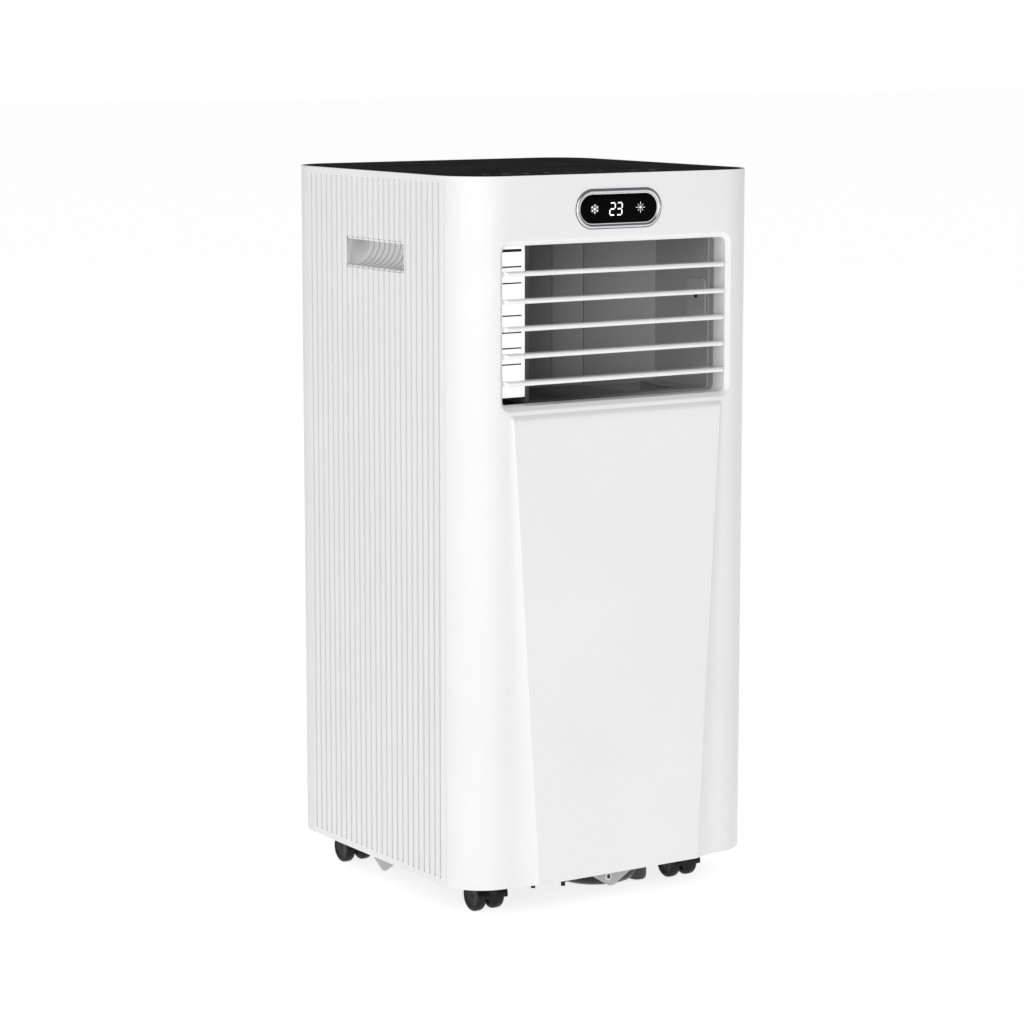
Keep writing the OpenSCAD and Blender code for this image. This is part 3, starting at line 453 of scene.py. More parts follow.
def finned(name, color, pitch):
    """Thin upright plates with painted shade in the dark gaps: bands across X as height and as colour."""
    material, tree, shader, place = start_material(name)
    set_inputs(shader, Metallic=1)
    fins = bands(tree, place, pitch, "X")
    # Painted shade: the gaps between fins are darkened to a quarter of the fins' colour.
    tree.links.new(tinted(tree, fins, shaded(color, 0.25), color, 0.1, 0.6), shader.inputs["Base Color"])
    tree.links.new(spread(tree, noise(tree, place, 60), 0.3, 0.5), shader.inputs["Roughness"])
    bumped(tree, shader, fins, pitch * 0.5)
    return material


def woven(name, color, pitch):
    """Threads over and under: the larger of two crossing bands is the thread on top. The gaps between threads
    are painted dark as shade.
    """
    material, tree, shader, place = start_material(name)
    threads = both(tree, bands(tree, place, pitch, "X"), bands(tree, place, pitch, "Z"), "MAXIMUM")
    # Painted shade: between the threads the colour falls to 0.15 of the threads' colour.
    tree.links.new(tinted(tree, threads, shaded(color, 0.15), color, 0.5, 0.95), shader.inputs["Base Color"])
    tree.links.new(spread(tree, noise(tree, place, 90), 0.6, 0.8), shader.inputs["Roughness"])
    bumped(tree, shader, threads, pitch * 0.3)
    return material


def tracked(name, mask, copper):
    """Solder mask with raised tracks: the cells of a Voronoi pattern leave thin lines between them."""
    material, tree, shader, place = start_material(name)
    kind = {"feature": "DISTANCE_TO_EDGE", "distance": "EUCLIDEAN"}
    cells = node(tree, "ShaderNodeTexVoronoi", kind, Scale=160)
    tree.links.new(place, cells.inputs["Vector"])
    lines = cells.outputs["Distance"]
    tree.links.new(tinted(tree, lines, copper, mask, 0.03, 0.05), shader.inputs["Base Color"])
    tree.links.new(spread(tree, noise(tree, place, 50), 0.25, 0.4), shader.inputs["Roughness"])
    bumped(tree, shader, lines, 0.0002)
    return material


def lit(name, color, strength):
    """Light from behind printed glass: brightness varies a little along the lamp."""
    material, tree, shader, place = start_material(name)
    set_inputs(shader, Base_Color=(0.02, 0.02, 0.02, 1), Emission_Strength=strength)
    glow = tinted(tree, noise(tree, place, 300), shaded(color, 0.85), color)
    tree.links.new(glow, shader.inputs["Emission Color"])
    tree.links.new(spread(tree, noise(tree, place, 900), 0.3, 0.5), shader.inputs["Roughness"])
    return material


def painted_shade_ramp(name, dark, light, x_range):
    """Moulded plastic with painted light and shade: it lightens along X, as the wall nearer the light does.
    """
    material = moulded(name, grey(light), 0.5, grain=700, depth=0.00004, specular=0.3)
    tree = material.node_tree
    along = spread(tree, coordinates(tree)["X"], 0.0, 1.0, *x_range)
    shade = tinted(tree, along, grey(dark), grey(light), 0.0, 1.0)
    tree.links.new(shade, tree.nodes["Principled BSDF"].inputs["Base Color"])
    return material


# The duct's plastic carries painted shade: darkest at the left of this range and lightest at its right.
duct_shade_x = (-0.04, 0.14)
painted_shade_ramp("duct_grey", 0.08, 0.48, duct_shade_x)
painted_shade_ramp("duct_sheet", 0.11, 0.55, duct_shade_x)
groove_pitch = 0.010
groove_first = -0.124
groove_half = 0.0013
groove_z = (0.0415, 0.7075)
# Painted shade in the side grooves: the share of the colour left at a groove's middle.
groove_shade = 0.6
grooved("side_white", grey(0.87), 0.45, groove_shade, groove_first, groove_pitch, groove_half, groove_z)
finned("fin_aluminium", (0.7, 0.71, 0.72), pitch=0.0018)
woven("filter_mesh", (0.16, 0.18, 0.2), pitch=0.0016)
tracked("circuit_board", mask=(0.012, 0.1, 0.035), copper=(0.05, 0.22, 0.09))
lit("display_light", (1.0, 1.0, 1.0), strength=1.6)
lit("key_mark", (0.6, 0.6, 0.62), strength=0.6)
finishes = {m.name: m for m in bpy.data.materials if m.use_nodes}
print(sorted(finishes))

# %% [markdown]
# ## Every CAD node gets its finish
# The record says which slot a node takes its finish from. The same names are used here, so one loop
# dresses all sixty, and the pieces made below take theirs from the same dictionary.

# %% Dress the CAD nodes
slot_of = {row["node"]: row["material_slot"] for row in frame["record"]["subparts"]}
for name, part in nodes.items():
    part.data.materials.clear()
    part.data.materials.append(finishes[slot_of[name]])
print(len(slot_of), "nodes dressed in", len(set(slot_of.values())), "finishes")

# %% [markdown]
# ## Softened edges
# CAD edges are knife sharp, and a real moulding has none: every edge is at least a hair round, and
# that thin highlight is what tells the eye that it is solid. Where a node's shape is already right, a
# copy is welded, its flat faces are joined again, and a Bevel rounds its sharp edges. The copy stands
# for the node and rides on the same body.

# %% A rounded copy of a CAD node
def softened(name, width, segments=2, sharp=35):
    """Welds a copy of a CAD node, joins coplanar faces, and rounds edges sharper than the angle."""
    mesh = nodes[name].data.copy()
    mesh.name = name + "_soft"
    work = bmesh.new()
    work.from_mesh(mesh)
    bmesh.ops.remove_doubles(work, verts=work.verts, dist=1e-6)
    bmesh.ops.dissolve_limit(work, angle_limit=math.radians(0.6), verts=work.verts, edges=work.edges)
    work.to_mesh(mesh)
    work.free()
    if "custom_normal" in mesh.attributes:
        mesh.attributes.remove(mesh.attributes["custom_normal"])
    mesh.shade_smooth()
    mesh.set_sharp_from_angle(angle=math.radians(sharp))
    made = placed(name + "_soft", mesh)
    round_edges(made, width, segments, sharp)
    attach(made, nodes[name]["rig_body"])
    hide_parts(name)


edge_of = {"rear_panel": edge_r, "top_panel": 0.0006, "outlet_duct": 0.001, "outlet_cheek": 0.0003,
           "upper_grille": 0.0004, "lower_grille": 0.0004, "pan_brackets": 0.0005, "base_pan": 0.001,
           "exhaust_collar": 0.0006, "drain_plug": 0.0005, "cord_gland": 0.0006}
edge_of.update({f"louvre_{i + 1}": 0.0004 for i in range(5)})
edge_of.update({name: 0.0005 for name in nodes if name.startswith("key_")})
for name, width in edge_of.items():
    softened(name, width)
print(len(edge_of), "nodes softened")

# %% [markdown]
# ## The front shell
# One moulding makes the whole front: it wraps round two corners, carries the frame of the air outlet,
# and swells into an apron whose foot stands proud. A developed coordinate makes this easy. Walk along
# the shell's outline from the middle: s counts the metres walked, level on the flat and bent round on
# the corners. A sheet drawn flat in (s, z) is then rolled onto the cabinet.

# %% Rolling a flat sheet onto the cabinet
reach = flat_x + corner_r * math.acos((corner_y - front_seam) / corner_r)


def rolled(s, z, forward=0.0):
    """Past the flat, angle = (|s| - flat) / r turns a point round the corner. Forward stands proud."""
    s, z, forward = np.broadcast_arrays(np.asarray(s, float), z, forward)
    angle = np.clip(np.abs(s) - flat_x, 0, None) / corner_r
    x = np.sign(s) * (np.minimum(np.abs(s), flat_x) + (corner_r + forward) * np.sin(angle))
    y = corner_y - (corner_r + forward) * np.cos(angle)
    return np.stack([x, y, z], axis=-1)


# %% [markdown]
# The outlet's rings and the apron's columns have to share the points where they meet. So one list of s
# values serves both: the apron's middle, its scoops and the flat beyond them, then the corner arcs.

# %% Columns shared by every zone
apron_top = 0.490
apron_half_top = 0.1203
apron_half_foot = 0.0936
apron_proud = front_y - apron_y
apron_lip = 0.0026
lip_height = 0.006
scoop_power = 2.3
opening_half = np.array([0.129, 0.0755])
opening_mid = 0.5735
throat_r = 0.006
chamfer = 0.004
reveal = 0.022
straight = opening_half - throat_r
frame_edge = straight + throat_r + 2 * chamfer

tiny = 1e-9
plateau = np.concatenate([np.linspace(0, 0.97, 7), [0.994]])
seam_share = (straight[0] - apron_half_top) / (flat_x - apron_half_top)
scoop = np.concatenate([np.linspace(0, 1, 12)[:-1] ** 1.4, [seam_share]])
half_s = np.unique(np.round(np.concatenate([
    plateau * apron_half_top, apron_half_top + scoop * (flat_x - apron_half_top),
    [flat_x, 0.131, frame_edge[0]], flat_x + (reach - flat_x) * np.linspace(0.24, 1, 12)]), 7))
columns = np.concatenate([-half_s[:0:-1], half_s])
print(len(columns), "columns")


def apron(s, t):
    """The lower front: a lip at the top, depth that grows downwards, and scoops that fall off as q^n."""
    t = t[:, None]
    half = apron_half_top + (apron_half_foot - apron_half_top) * t
    at = np.abs(s)[None, :]
    across = np.clip((at - apron_half_top) / (flat_x - apron_half_top), 0, 1)
    moved = np.where(at <= apron_half_top, at / apron_half_top * half,
                     np.where(at <= flat_x, half + across * (flat_x - half), at))
    lip_part = np.clip(t * (apron_top - z_low) / lip_height, 0, 1)
    proud = apron_lip * np.sin(lip_part * math.pi / 2) + (apron_proud - apron_lip) * t
    depth = proud * (1 - across) ** scoop_power
    return rolled(np.sign(s)[None, :] * moved, apron_top + (z_low - apron_top) * t, depth)


# %% [markdown]
# The outlet's frame is drawn as rings round the opening. Each ring point hangs on an anchor: itself on
# a straight side, the arc's centre at a corner. A ring of any radius is then anchor + r * normal.

# %% The outlet's rings
def perimeter(xs, zs):
    """The frame's border, anticlockwise from its lower right corner, with each point's anchor and normal."""
    half_x, half_z = xs[-1], zs[-1]
    border = np.concatenate([
        stack(half_x, zs[:-1]), stack(xs[:0:-1], half_z), stack(-half_x, zs[:0:-1]), stack(xs[:-1], -half_z)])
    anchor = np.clip(border, -straight, straight)
    over = np.abs(border) - np.abs(anchor)
    ranks = []
    for k, lines in enumerate((xs, zs)):
        beyond = lines[lines >= straight[k] - tiny] - straight[k]
        ranks.append(np.interp(over[:, k], beyond, np.linspace(0, 1, len(beyond))))
    upright = np.abs(border[:, 0]) >= half_x - tiny
    angle = np.where(upright, ranks[1] * math.pi / 4, math.pi / 2 - ranks[0] * math.pi / 4)
    return border, anchor, stack(np.cos(angle) * np.sign(border[:, 0]), np.sin(angle) * np.sign(border[:, 1]))


frame_s = columns[np.abs(columns) <= frame_edge[0] + tiny]
corner_s = half_s[(half_s >= straight[0] - tiny) & (half_s <= frame_edge[0] + tiny)]
corner_z = straight[1] + (corner_s - straight[0])
half_z = np.concatenate([np.linspace(0, straight[1], 4)[:-1], corner_z])
frame_z = np.concatenate([-half_z[:0:-1], half_z])
border, anchor, normal = perimeter(frame_s, frame_z)
lip = 0.0008
slope = math.sqrt(0.5)
# Each ring is (radius about the anchor, metres pushed back): flat, lip, chamfer, lip, reveal.
ring_shape = np.array([
    (throat_r + chamfer + lip, 0), (throat_r + chamfer + 0.3 * lip, 0.1 * lip),
    (throat_r + chamfer - slope * lip, slope * lip), (throat_r + slope * lip, chamfer - slope * lip),
    (throat_r + 0.1 * lip, chamfer - 0.2 * lip), (throat_r, chamfer + lip), (throat_r, reveal)])
rings = anchor[None] + normal[None] * ring_shape[:, :1, None]
rings = np.concatenate([border[None], rings])
pushed = np.concatenate([[0], ring_shape[:, 1]])[:, None]
outlet_points = rolled(rings[..., 0], rings[..., 1] + opening_mid)
outlet_points[..., 1] += pushed

# %% Join and place the shell
apron_rows = np.concatenate([np.linspace(0, lip_height / (apron_top - z_low), 6), np.linspace(0.03, 1, 30)])
top_rows = np.linspace(frame_edge[1] + opening_mid, z_top, 5)[:, None]
flank = half_s[half_s >= frame_edge[0] - tiny]
flank_z = (frame_z + opening_mid)[:, None]
shell_mesh = piece("front_shell", [
    grid(apron(columns, apron_rows)),
    grid(outlet_points, close_cols=True),
    grid(rolled(flank[None, :], flank_z)),
    grid(rolled(-flank[None, :], flank_z)),
    grid(rolled(columns[None, :], top_rows)),
], "front_panel", "shell_white", sharp=24, thick=wall, rim=0.0007, replaces=["front_panel"])
print("front shell", len(shell_mesh.polygons), "faces")

# %% [markdown]
# ## The side skins
# Twenty-five upright grooves run down each side, ten millimetres apart, the first one on the rounded
# corner. Each is a hollow with round ends. The skin is a grid in (y, z) pushed in by a depth that
# falls from the groove's middle to its edge, and the grid has lines only where the groove needs them.

# %% Grooves as a depth
groove_count = 25
groove_depth = 0.0016
recess_y = (-0.062, 0.047)
recess_z = (0.619, 0.649)


def hollow(away):
    """Depth at a share of a groove's half width: D sqrt(1 - a^2), a half circle drawn out."""
    return groove_depth * np.sqrt(np.clip(1 - away ** 2, 0, 1))


def groove(y, z):
    """Depth of the nearest groove, whose ends are round."""
    nearest = np.clip(np.round((y - groove_first) / groove_pitch), 0, groove_count - 1)
    centre = groove_first + groove_pitch * nearest
    beyond = np.maximum(groove_z[0] + groove_half - z, z - groove_z[1] + groove_half).clip(0, None)
    return hollow(np.hypot(y - centre, beyond) / groove_half)


across = np.array([-1.0, -0.93, -0.75, -0.4, 0.0, 0.4, 0.75, 0.93, 1.0]) * groove_half
groove_lines = (groove_first + groove_pitch * np.arange(groove_count))[:, None] + across
front_arc = np.linspace(side_y0, corner_y, 9)
skin_y = np.unique(np.round(np.concatenate([front_arc, groove_lines.ravel(), recess_y, [side_y1]]), 6))
end_rows = np.concatenate([[0.0], np.linspace(0, 1, 5) ** 1.5]) * groove_half
skin_z = np.unique(np.round(np.concatenate([
    [z_low, z_top], groove_z[0] + end_rows, groove_z[1] - end_rows, recess_z,
    np.linspace(groove_z[0] + 0.03, groove_z[1] - 0.03, 6)]), 6))


def skin_point(y, z, depth):
    """On the flat the normal is X; in front of it the normal turns round the corner's arc."""
    back = np.clip(corner_y - y, 0, corner_r) / corner_r
    angle = np.arcsin(back)
    r = corner_r - depth
    x = flat_x + r * np.cos(angle)
    return stack(x, np.where(y < corner_y, corner_y - r * np.sin(angle), y), z)


def skin(side):
    """One side's sheet, with the cells in the hand hole left out."""
    y, z = skin_y[None, :], skin_z[:, None]
    points, faces = grid(skin_point(y, z, groove(y, z)))
    centre = points[faces].mean(axis=1)
    inside = (centre[:, 1] > recess_y[0]) & (centre[:, 1] < recess_y[1])
    inside &= (centre[:, 2] > recess_z[0]) & (centre[:, 2] < recess_z[1])
    points = points * np.array([side, 1, 1])
    return points, faces[~inside]


for side, node_name in ((-1, "side_panel_left"), (1, "side_panel_right")):
    mesh = piece(node_name + "_skin", [skin(side)], node_name, "side_white",
                 sharp=40, thick=wall, rim=0.0006, replaces=[node_name])
    print(node_name, len(mesh.polygons), "faces")

# %% [markdown]
# Each side has a hand recess: a floor that scoops up into a back wall, a pocket above the mouth for
# the fingertips, and a lip they hook behind. The ribs of the skin run on down its back and floor.

# %% Hand recesses
lip_inner = side_x - 0.0055
hook_top = 0.661
back_x = side_x - 0.027
scoop_r = 0.024
ease = 0.0002
mouth_x = side_x - 0.0007
recess_wall = 0.0022
curve = arc((side_x - wall, recess_z[0] + scoop_r + ease), scoop_r, -90, -180, 14)
pocket = np.concatenate([[[mouth_x, recess_z[0] + ease]], curve, [
    [back_x, 0.652], [back_x, hook_top], [lip_inner, hook_top],
    [lip_inner, recess_z[1] - ease], [mouth_x, recess_z[1] - ease]]])


def recess(side):
    """The pocket's profile in (x, z) carried along y, grooved on floor and back, with two end walls."""
    lines = groove_lines.ravel()
    within = lines[(lines > recess_y[0] + ease) & (lines < recess_y[1] - ease)]
    y = np.concatenate([[recess_y[0] + ease], within, [recess_y[1] - ease]])
    nearest = groove_first + groove_pitch * np.round((y - groove_first) / groove_pitch)
    depth = hollow(np.abs(y - nearest) / groove_half)
    tangent = np.gradient(pocket, axis=0)
    tangent /= np.linalg.norm(tangent, axis=1)[:, None]
    ribbed = (np.arange(len(pocket)) > 1) & (np.arange(len(pocket)) < len(curve) + 2)
    inwards = np.stack([tangent[:, 1], -tangent[:, 0]], axis=-1) * ribbed[:, None]
    x = pocket[:, 0][:, None] - inwards[:, 0][:, None] * depth
    z = pocket[:, 1][:, None] - inwards[:, 1][:, None] * depth
    points = stack(x, y[None, :], z) * np.array([side, 1, 1])
    ends = [plate(points[:, k]) for k in (0, -1)]
    return [grid(points)] + ends


for side, node_name in ((-1, "side_panel_left"), (1, "side_panel_right")):
    mesh = piece(node_name + "_recess", recess(side), node_name, "side_white",
                 sharp=40, thick=recess_wall)
    print(node_name, "recess", len(mesh.polygons), "faces")

# %% [markdown]
# ## The display
# A bright half-round ring frames a slightly domed black glass. The figures behind it are thin lit
# bars: a two and a three from a seven-segment pattern, with a snowflake and a sun beside them.

# %% Ring and glass
display_lo, display_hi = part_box("display_bezel")
display_mid = ((display_lo.x + display_hi.x) / 2, (display_lo.z + display_hi.z) / 2)
display_half = ((display_hi.x - display_lo.x) / 2, (display_hi.z - display_lo.z) / 2)
ring_w = 0.004


def on_display(u, v, forward):
    return stack(display_mid[0] + u, front_y - forward, display_mid[1] + v)


outline, out = round_rect(*display_half, display_half[1] - 1e-5, 20, 8)
bead = arc((-ring_w / 2, 0), ring_w / 2, 0, 180, 11) * np.array([1, 0.75])
ring_shape = [(0, -0.004), *bead, (-ring_w, -0.004)]
piece("display_ring", [swept(outline, out, ring_shape, on_display)], "display_bezel", "chrome_trim",
      sharp=60, replaces=["display_bezel"])

glass_in = np.array([0.0, 0.0006, 0.002, 0.005, 0.009, 0.0135])
glass_rise = 0.0006 * np.sqrt(np.clip(np.array([0.2, 0.45, 0.7, 0.85, 0.95, 1.0]), 0, 1)) - 0.0004
rim_in = ring_w + 0.0001
profile = [(-rim_in, -0.003), *zip(-rim_in - glass_in, glass_rise)]
glass, glass_faces = swept(outline, out, profile, on_display)
pane = plate(glass[len(profile) - 1::len(profile)])
piece("display_glass", [(glass, glass_faces), pane], "display_window", "display_glass", sharp=50,
      replaces=["display_window"])
glass_front = front_y - 0.0007


# %% Lit figures
digit_w = 0.0058
digit_h = 0.0114
digit_foot = 0.6746
digit_lefts = (-0.0110, -0.0030)
digit_slant = 0.035
digit_line = 0.0013
fine_line = 0.0004
flake = np.array([-0.0281, 0.6808])
sun = np.array([0.0246, 0.6810])
sun_r = 0.0012


def bar(start, end, width, pointed=0.0):
    """A flat bar between two points of the display, with ends that may be pointed."""
    start, end = np.array(start, float), np.array(end, float)
    along = (end - start) / np.linalg.norm(end - start)
    side = np.array([-along[1], along[0]]) * width / 2
    point = along * pointed
    ends = [start, start + point + side, end - point + side, end, end - point - side, start + point - side]
    return plate([(u, glass_front, v) for u, v in ends])


def digit(shown, left):
    """Seven bars on a slant: top, upper right, lower right, bottom, lower left, upper left, middle."""
    corner = {"tl": (0, 2), "tr": (1, 2), "ml": (0, 1), "mr": (1, 1), "bl": (0, 0), "br": (1, 0)}
    place = {k: (left + a * digit_w + b * digit_h * digit_slant, digit_foot + b * digit_h / 2)
             for k, (a, b) in corner.items()}
    pairs = ["tl tr", "tr mr", "mr br", "bl br", "ml bl", "tl ml", "ml mr"]
    gap = 0.0005
    parts = []
    for k in shown:
        a, b = (np.array(place[n]) for n in pairs[k].split())
        along = (b - a) / np.linalg.norm(b - a)
        parts.append(bar(a + along * gap, b - along * gap, digit_line, gap))
    return parts


def direction(degrees):
    """A unit vector on the display."""
    return np.array([math.cos(math.radians(degrees)), math.sin(math.radians(degrees))])


figures = []
for shown, left in zip(([0, 1, 6, 4, 3], [0, 1, 6, 2, 3]), digit_lefts):
    figures += digit(shown, left)
# A snowflake: six arms with two twigs each. Then a sun: eight rays, every other one longer.
for k in range(6):
    turn = direction(60 * k + 30)
    side = np.array([-turn[1], turn[0]])
    figures.append(bar(flake, flake + turn * 0.0046, fine_line))
    for sign in (-1, 1):
        twig_end = flake + turn * 0.0038 + side * sign * 0.0013
        figures.append(bar(flake + turn * 0.0026, twig_end, 0.00035))
for k in range(8):
    turn = direction(45 * k)
    length = 0.0053 if k % 2 == 0 else 0.0042
    figures.append(bar(sun + turn * 0.0022, sun + turn * length, fine_line))
disc = np.linspace(0, 2 * math.pi, 17)[:-1]
figures.append(plate(stack(sun[0] + sun_r * np.cos(disc), glass_front, sun[1] + sun_r * np.sin(disc))))
figure_mesh = piece("display_figures", figures, "display_window", "display_light", "display_glass")
print("display", len(figure_mesh.polygons), "lit shapes")

# %% [markdown]
# ## Legends on the keys
# Every key carries a small printed sign that says what it does: a ring with a bar for power, a clock,
# a fan, a droplet, a minus and a plus, two lines for the swing and a moon. They ride on their own keys.

# %% Key legends
def ribbon(points, width, z, closed=False):
    """A flat line of that width through points on top of a key."""
    points = np.asarray(points, float)
    if closed:
        ahead, behind = np.roll(points, -1, axis=0), np.roll(points, 1, axis=0)
    else:
        ahead = np.concatenate([points[1:], 2 * points[-1:] - points[-2:-1]])
        behind = np.concatenate([2 * points[:1] - points[1:2], points[:-1]])
    along = ahead - behind
    along /= np.linalg.norm(along, axis=1)[:, None]
    side = np.stack([-along[:, 1], along[:, 0]], axis=-1) * width / 2
    edge = np.stack([points + side, points - side])
    return grid(stack(edge[..., 0], edge[..., 1], z), close_cols=closed)


line = 0.0007
ink = 0.00005
crescent = np.concatenate([arc((0, 0), 0.0031, 60, 300, 16), arc((0.0017, 0), 0.0029, 290, 70, 12)])
# Each sign is a list of strokes: (points from the middle of the key, whether the line is closed).
signs = {
    "key_power": [(arc((0, 0), 0.0028, -240, 60, 20), False), ([(0, 0.0008), (0, 0.0038)], False)],
    "key_timer": [(arc((0, 0), 0.0030, 0, 345, 24), True), ([(0, 0.0018), (0, 0), (0.0014, 0)], False)],
    "key_fan": [(arc((0.0015 * math.cos(a), 0.0015 * math.sin(a)), 0.0013, 0, 345, 12), True)
                for a in (math.pi / 2, math.pi * 7 / 6, math.pi * 11 / 6)],
    "key_mode": [(np.concatenate([arc((0, -0.0008), 0.0021, -200, 20, 14), [(0, 0.0034)]]), True)],
    "key_temperature": [([(-0.0205, 0), (-0.0155, 0)], False), ([(0.0155, 0), (0.0205, 0)], False),
                        ([(0.018, -0.0025), (0.018, 0.0025)], False)],
    "key_swing": [([(-0.003, 0.0012), (0.003, 0.0012)], False),
                  ([(-0.0025, -0.0014), (0.0025, -0.0014)], False)],
    "key_night": [(crescent, True)],
}
for name, strokes in signs.items():
    lo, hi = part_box(name)
    middle = np.array([(lo.x + hi.x) / 2, (lo.y + hi.y) / 2])
    level = hi.z + ink
    parts = [ribbon(np.asarray(points) + middle, line, level, closed) for points, closed in strokes]
    piece(name + "_sign", parts, name, "key_mark", slot_of[name])
print(len(signs), "signs")

# %% [markdown]
# ## Inside the outlet
# Behind the blades the duct's front edge is closed against the shell by a grey collar. Its back wall
# is made of sheets: a joint runs down it, one sheet is lighter, and a plate is screwed to the side.

# %% Collar, sheets and plate of the duct
duct_lo, duct_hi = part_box("outlet_duct")
back_wall = duct_hi.y - wall
collar_front = front_y + reveal + 0.0001
cheek_side = -0.0868
play = 0.0002
collar_right = duct_hi.x - 0.002
collar_parts = [
    box_part((opening_half[0] + play, collar_front, duct_lo.z), (duct_hi.x, duct_lo.y, duct_hi.z)),
    box_part((cheek_side, collar_front, opening_mid + opening_half[1] + play),
             (collar_right, duct_lo.y, duct_hi.z)),
    box_part((cheek_side, collar_front, duct_lo.z),
             (collar_right, duct_lo.y, opening_mid - opening_half[1] - play)),
]
piece("duct_collar", collar_parts, "outlet_duct", "duct_grey")

joint_x = 0.041
joint_half = 0.0003
fold_w = 0.016
sheet_left, sheet_right = joint_x - 0.0375, joint_x - 0.0006
sheet_thick = 0.0008
sheet_z = (duct_lo.z + 0.0032, duct_hi.z - 0.0032)
joint_y = back_wall - joint_half
joint_parts = [
    box_part((joint_x - joint_half, joint_y, sheet_z[0]), (joint_x + joint_half, back_wall, sheet_z[1])),
    *(box_part((joint_x - fold_w, joint_y, low), (joint_x, back_wall, high))
      for low, high in ((0.6405, 0.6412), (0.5320, 0.5327))),
]
piece("duct_joint", joint_parts, "outlet_duct", "fan_black", "duct_grey")
sheet = box_part((sheet_left, back_wall - sheet_thick, sheet_z[0]), (sheet_right, back_wall, sheet_z[1]))
piece("duct_sheet", [sheet], "outlet_duct", "duct_sheet", "duct_grey", rim=0.0002)


def side_plate(low, high, r, thick):
    """A rounded plate on the duct's right wall, with a bevelled edge."""
    half = ((high[0] - low[0]) / 2, (high[1] - low[1]) / 2)
    middle = ((high[0] + low[0]) / 2, (high[1] + low[1]) / 2)
    edge, out = round_rect(*half, r, 8, 3)

    def place(u, v, forward):
        return stack(duct_hi.x - wall - forward, middle[0] + u, middle[1] + v)

    shape = [(0, 0), (0, thick * 0.6), (-thick * 0.4, thick)]
    points, faces = swept(edge, out, shape, place)
    return [(points, faces), plate(points[len(shape) - 1::len(shape)])]


plate_thick = 0.0012
plate_parts = side_plate((-0.137, 0.566), (-0.107, 0.606), 0.006, plate_thick)
piece("duct_plate", plate_parts, "outlet_duct", "duct_sheet", "duct_grey")
head_shape = [(0.0026, 0), (0.0026, -0.001), (0.002, -0.0014), (0.0011, -0.0014), (0.0011, -0.0002),
              (0, -0.0002)]
boss = turned(head_shape, (duct_hi.x - wall - plate_thick, -0.1225, 0.589), "X", count=20)
piece("duct_plate_screw", [boss], "outlet_duct", "fan_black", "duct_grey")
print("duct dressed")

# %% [markdown]
# ## A dark line round the display, and screw heads
# A thin black band runs round the outside of the display's ring and shows as a dark line. The screws at the
# back have pan heads with a cross recess, drawn as a height over a polar grid.

# %% Gasket and screws
dark_line_w = 0.0005
dark_line_shape = [(dark_line_w, 0), (dark_line_w, 0.0003), (0, 0.0003), (0, 0)]
piece("display_dark_line", [swept(outline, out, dark_line_shape, on_display)], "display_bezel",
      "rubber_black", "display_glass")

head_r = 0.0036
head_high = 0.0020
screw_lo, screw_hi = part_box("screws")
screw_x = (screw_hi.x - head_r, screw_lo.x + head_r)
screw_z = (0.074, 0.232, 0.396, 0.697)
cross_half = 0.00045
cross_reach = 0.0021
cross_deep = 0.0011
head_rings = np.array([0.02, 0.12, 0.2, 0.3, 0.4, 0.5, 0.56, 0.62, 0.7, 0.85, 0.96, 1.0])
shank_shape = [(0.0019, 0.0), (0.0019, -0.0105), (0.0008, -0.012)]


def screw(x, z):
    """Pan head: dome h(r), less a cross 0.9 mm wide that is deepest in the middle, on a plain shank."""
    r = head_r * head_rings[:, None]
    angle = np.linspace(0, 2 * math.pi, 65)[None, :-1]
    u, v = r * np.cos(angle), r * np.sin(angle)
    dome = head_high * (1 - 0.45 * (r / head_r) ** 4) + 0 * u
    narrow, wide = np.minimum(abs(u), abs(v)), np.maximum(abs(u), abs(v))
    in_cross = (narrow < cross_half) & (wide < cross_reach)
    cut = np.where(in_cross, cross_deep * (1 - wide / 0.0034), 0)
    head = stack(x + u, rear_y + dome - cut, z + v)
    foot = np.concatenate([head[-1:], stack(x + u, rear_y - 0.0002, z + v)[-1:]])
    shank = turned(shank_shape, (x, rear_y, z), "Y", count=16)
    return [grid(head, close_cols=True), grid(foot, close_cols=True), plate(head[0]), shank]


screw_parts = [part for x in screw_x for z in screw_z for part in screw(x, z)]
piece("screw_heads", screw_parts, "screws", "screw_steel", sharp=40, replaces=["screws"])
print(len(screw_x) * len(screw_z), "screws")

# %% [markdown]
# ## Casters
# Each caster is a hooded fork over two wheels. The fork keeps its CAD shape with well rounded edges.
# A wheel is a turned profile: a dished face round a hub cap, a raised rim and a tyre with round edges.

# %% Wheels
wheel_r, wheel_w, wheel_apart = 0.015, 0.010, 0.0207
fork_edge = 0.0013
axle_shape = [(0.0024, -0.006), (0.0024, 0.006)]
face = np.array([(0.0, 0.0), (0.0026, 0.0), (0.003, -0.0003), (0.0032, -0.0005), (0.0098, -0.0005),
                 (0.0104, -0.0002), (0.0110, 0.0), (0.0128, -0.0001), (0.0141, -0.0008),
                 (0.0148, -0.0018), (wheel_r, -0.0032)])
face[:, 1] += wheel_w / 2
wheel_profile = np.concatenate([face, face[::-1] * np.array([1, -1])])
for corner in ("fl", "fr", "rl", "rr"):
    softened(f"caster_fork_{corner}", fork_edge, 3)
    name = f"caster_wheels_{corner}"
    lo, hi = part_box(name)
    axle = ((lo.x + hi.x) / 2, (lo.y + hi.y) / 2, (lo.z + hi.z) / 2)
    parts = [turned(wheel_profile, (axle[0] + side * wheel_apart / 2, *axle[1:]), "X")
             for side in (-1, 1)]
    parts.append(turned(axle_shape, axle, "X", count=20))
    piece(name + "_turned", parts, name, "wheel_black", sharp=35, replaces=[name])
print("four casters")

# %% [markdown]
# ## Under the pan
# The foot of the cabinet shows a little of what hangs below: a drain cup beside the basin, a channel
# that feeds the basin, a rim round it, and a screw through the front plate.

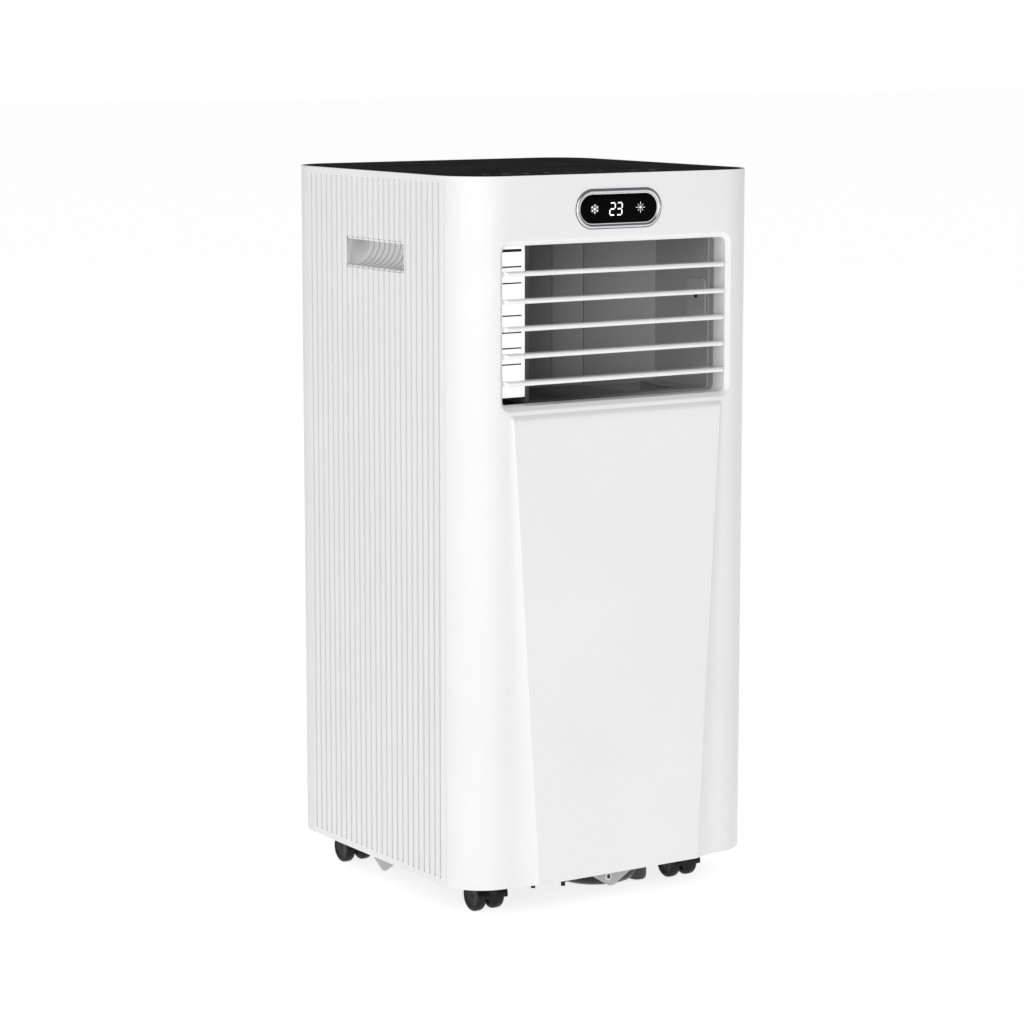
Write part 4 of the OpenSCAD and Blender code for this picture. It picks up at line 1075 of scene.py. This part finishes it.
# %% Drain cup, channel, rim and bracket screw
pan_slot = slot_of["base_pan"]
bracket_slot = slot_of["pan_brackets"]
basin_mid = (0.022, -0.100)
basin_r = 0.046
cup_mid = (0.0600, -0.1215)
cup_shape = [(0, 0.007), (0.0065, 0.007), (0.0082, 0.0076), (0.0092, 0.009), (0.0096, 0.012),
             (0.0096, 0.037)]
cup = turned(cup_shape, (*cup_mid, 0), "Z", count=40)
piece("drain_cup", [cup], "base_pan", "fan_black", pan_slot, sharp=50)
channel = box_part((-0.031, -0.128, 0.0175), (-0.001, -0.108, 0.0365))
piece("pan_channel", [channel], "base_pan", "fan_black", pan_slot, rim=0.0015)
rim_shape = [(basin_r - 0.0005, 0.024), (basin_r + 0.0012, 0.0245), (basin_r + 0.0016, 0.0258),
             (basin_r + 0.0012, 0.0270), (basin_r - 0.0005, 0.0275)]
basin_rim = turned(rim_shape, (*basin_mid, 0), "Z", count=72)
piece("basin_rim", [basin_rim], "base_pan", "fan_black", pan_slot, sharp=50)
bracket_screw = (0.0065, -0.1485, 0.0232)
boss_shape = [(0.0042, 0), (0.0042, -0.0008), (0.0036, -0.0013), (0.0024, -0.0013), (0.0020, -0.0009),
              (0.0020, 0.0002)]
boss = turned(boss_shape, bracket_screw, "Y", count=28)
piece("bracket_boss", [boss], "pan_brackets", "box_steel", bracket_slot, sharp=50)
# Painted shade: a flat black disc fills the boss's hole, where the hole's shade would be.
painted_hole = turned([(0.0019, -0.0002), (0, -0.0002)], bracket_screw, "Y", count=20)
piece("bracket_hole", [painted_hole], "pan_brackets", "fan_black", bracket_slot)
print("underside dressed")

# %% [markdown]
# ## Light, floor and backdrop
# One large soft lamp stands to the left and in front, and a dim sky fills in the rest. The camera sees
# the sky as white, and the floor glows to match it, so only a faint shadow shows where the floor is.

# %% Stage
def area_light(name, place, target, size, power):
    """A rectangular lamp that faces its target."""
    data = bpy.data.lights.new(name, "AREA")
    data.shape = "RECTANGLE"
    data.size, data.size_y = size
    data.energy = power
    lamp = placed(name, data)
    lamp.location = place
    aim = np.array(target) - np.array(place)
    turn = math.atan2(aim[0], -aim[1])
    drop = math.atan2(math.hypot(aim[0], aim[1]), -aim[2])
    lamp.rotation_euler = (drop, 0, turn + math.pi)


area_light("key_light", place=(-2.8, -3.1, 1.7), target=(0, 0, 0.5), size=(7.0, 3.4), power=112)
floor_half = 30
floor_glow = 0.8
sky_on_object, sky_seen = 0.2, 1.0
floor_mesh = bpy.data.meshes.new("floor")
floor_corners = [(x * floor_half, y * floor_half, 0) for x, y in ((-1, -1), (1, -1), (1, 1), (-1, 1))]
floor_mesh.from_pydata(floor_corners, [], [(0, 1, 2, 3)])
floor = placed("floor", floor_mesh)
floor_finish, floor_tree, floor_shader, floor_place = start_material("floor_white")
set_inputs(floor_shader, Specular_IOR_Level=0.1, Emission_Color=(1, 1, 1, 1), Emission_Strength=floor_glow)
floor_tree.links.new(tinted(floor_tree, noise(floor_tree, floor_place, 3), grey(0.9), grey(0.92)),
                     floor_shader.inputs["Base Color"])
floor_tree.links.new(spread(floor_tree, noise(floor_tree, floor_place, 40), 0.7, 0.8),
                     floor_shader.inputs["Roughness"])
floor_mesh.materials.append(floor_finish)

world = bpy.data.worlds.new("sky")
world.use_nodes = True
sky = world.node_tree
bpy.context.scene.world = world
background = sky.nodes["Background"]
rays = sky.nodes.new("ShaderNodeLightPath")
strength = node(sky, "ShaderNodeMapRange", To_Min=sky_on_object, To_Max=sky_seen)
sky.links.new(rays.outputs["Is Camera Ray"], strength.inputs["Value"])
sky.links.new(strength.outputs["Result"], background.inputs["Strength"])
background.inputs["Color"].default_value = (1, 1, 1, 1)
print("stage set")
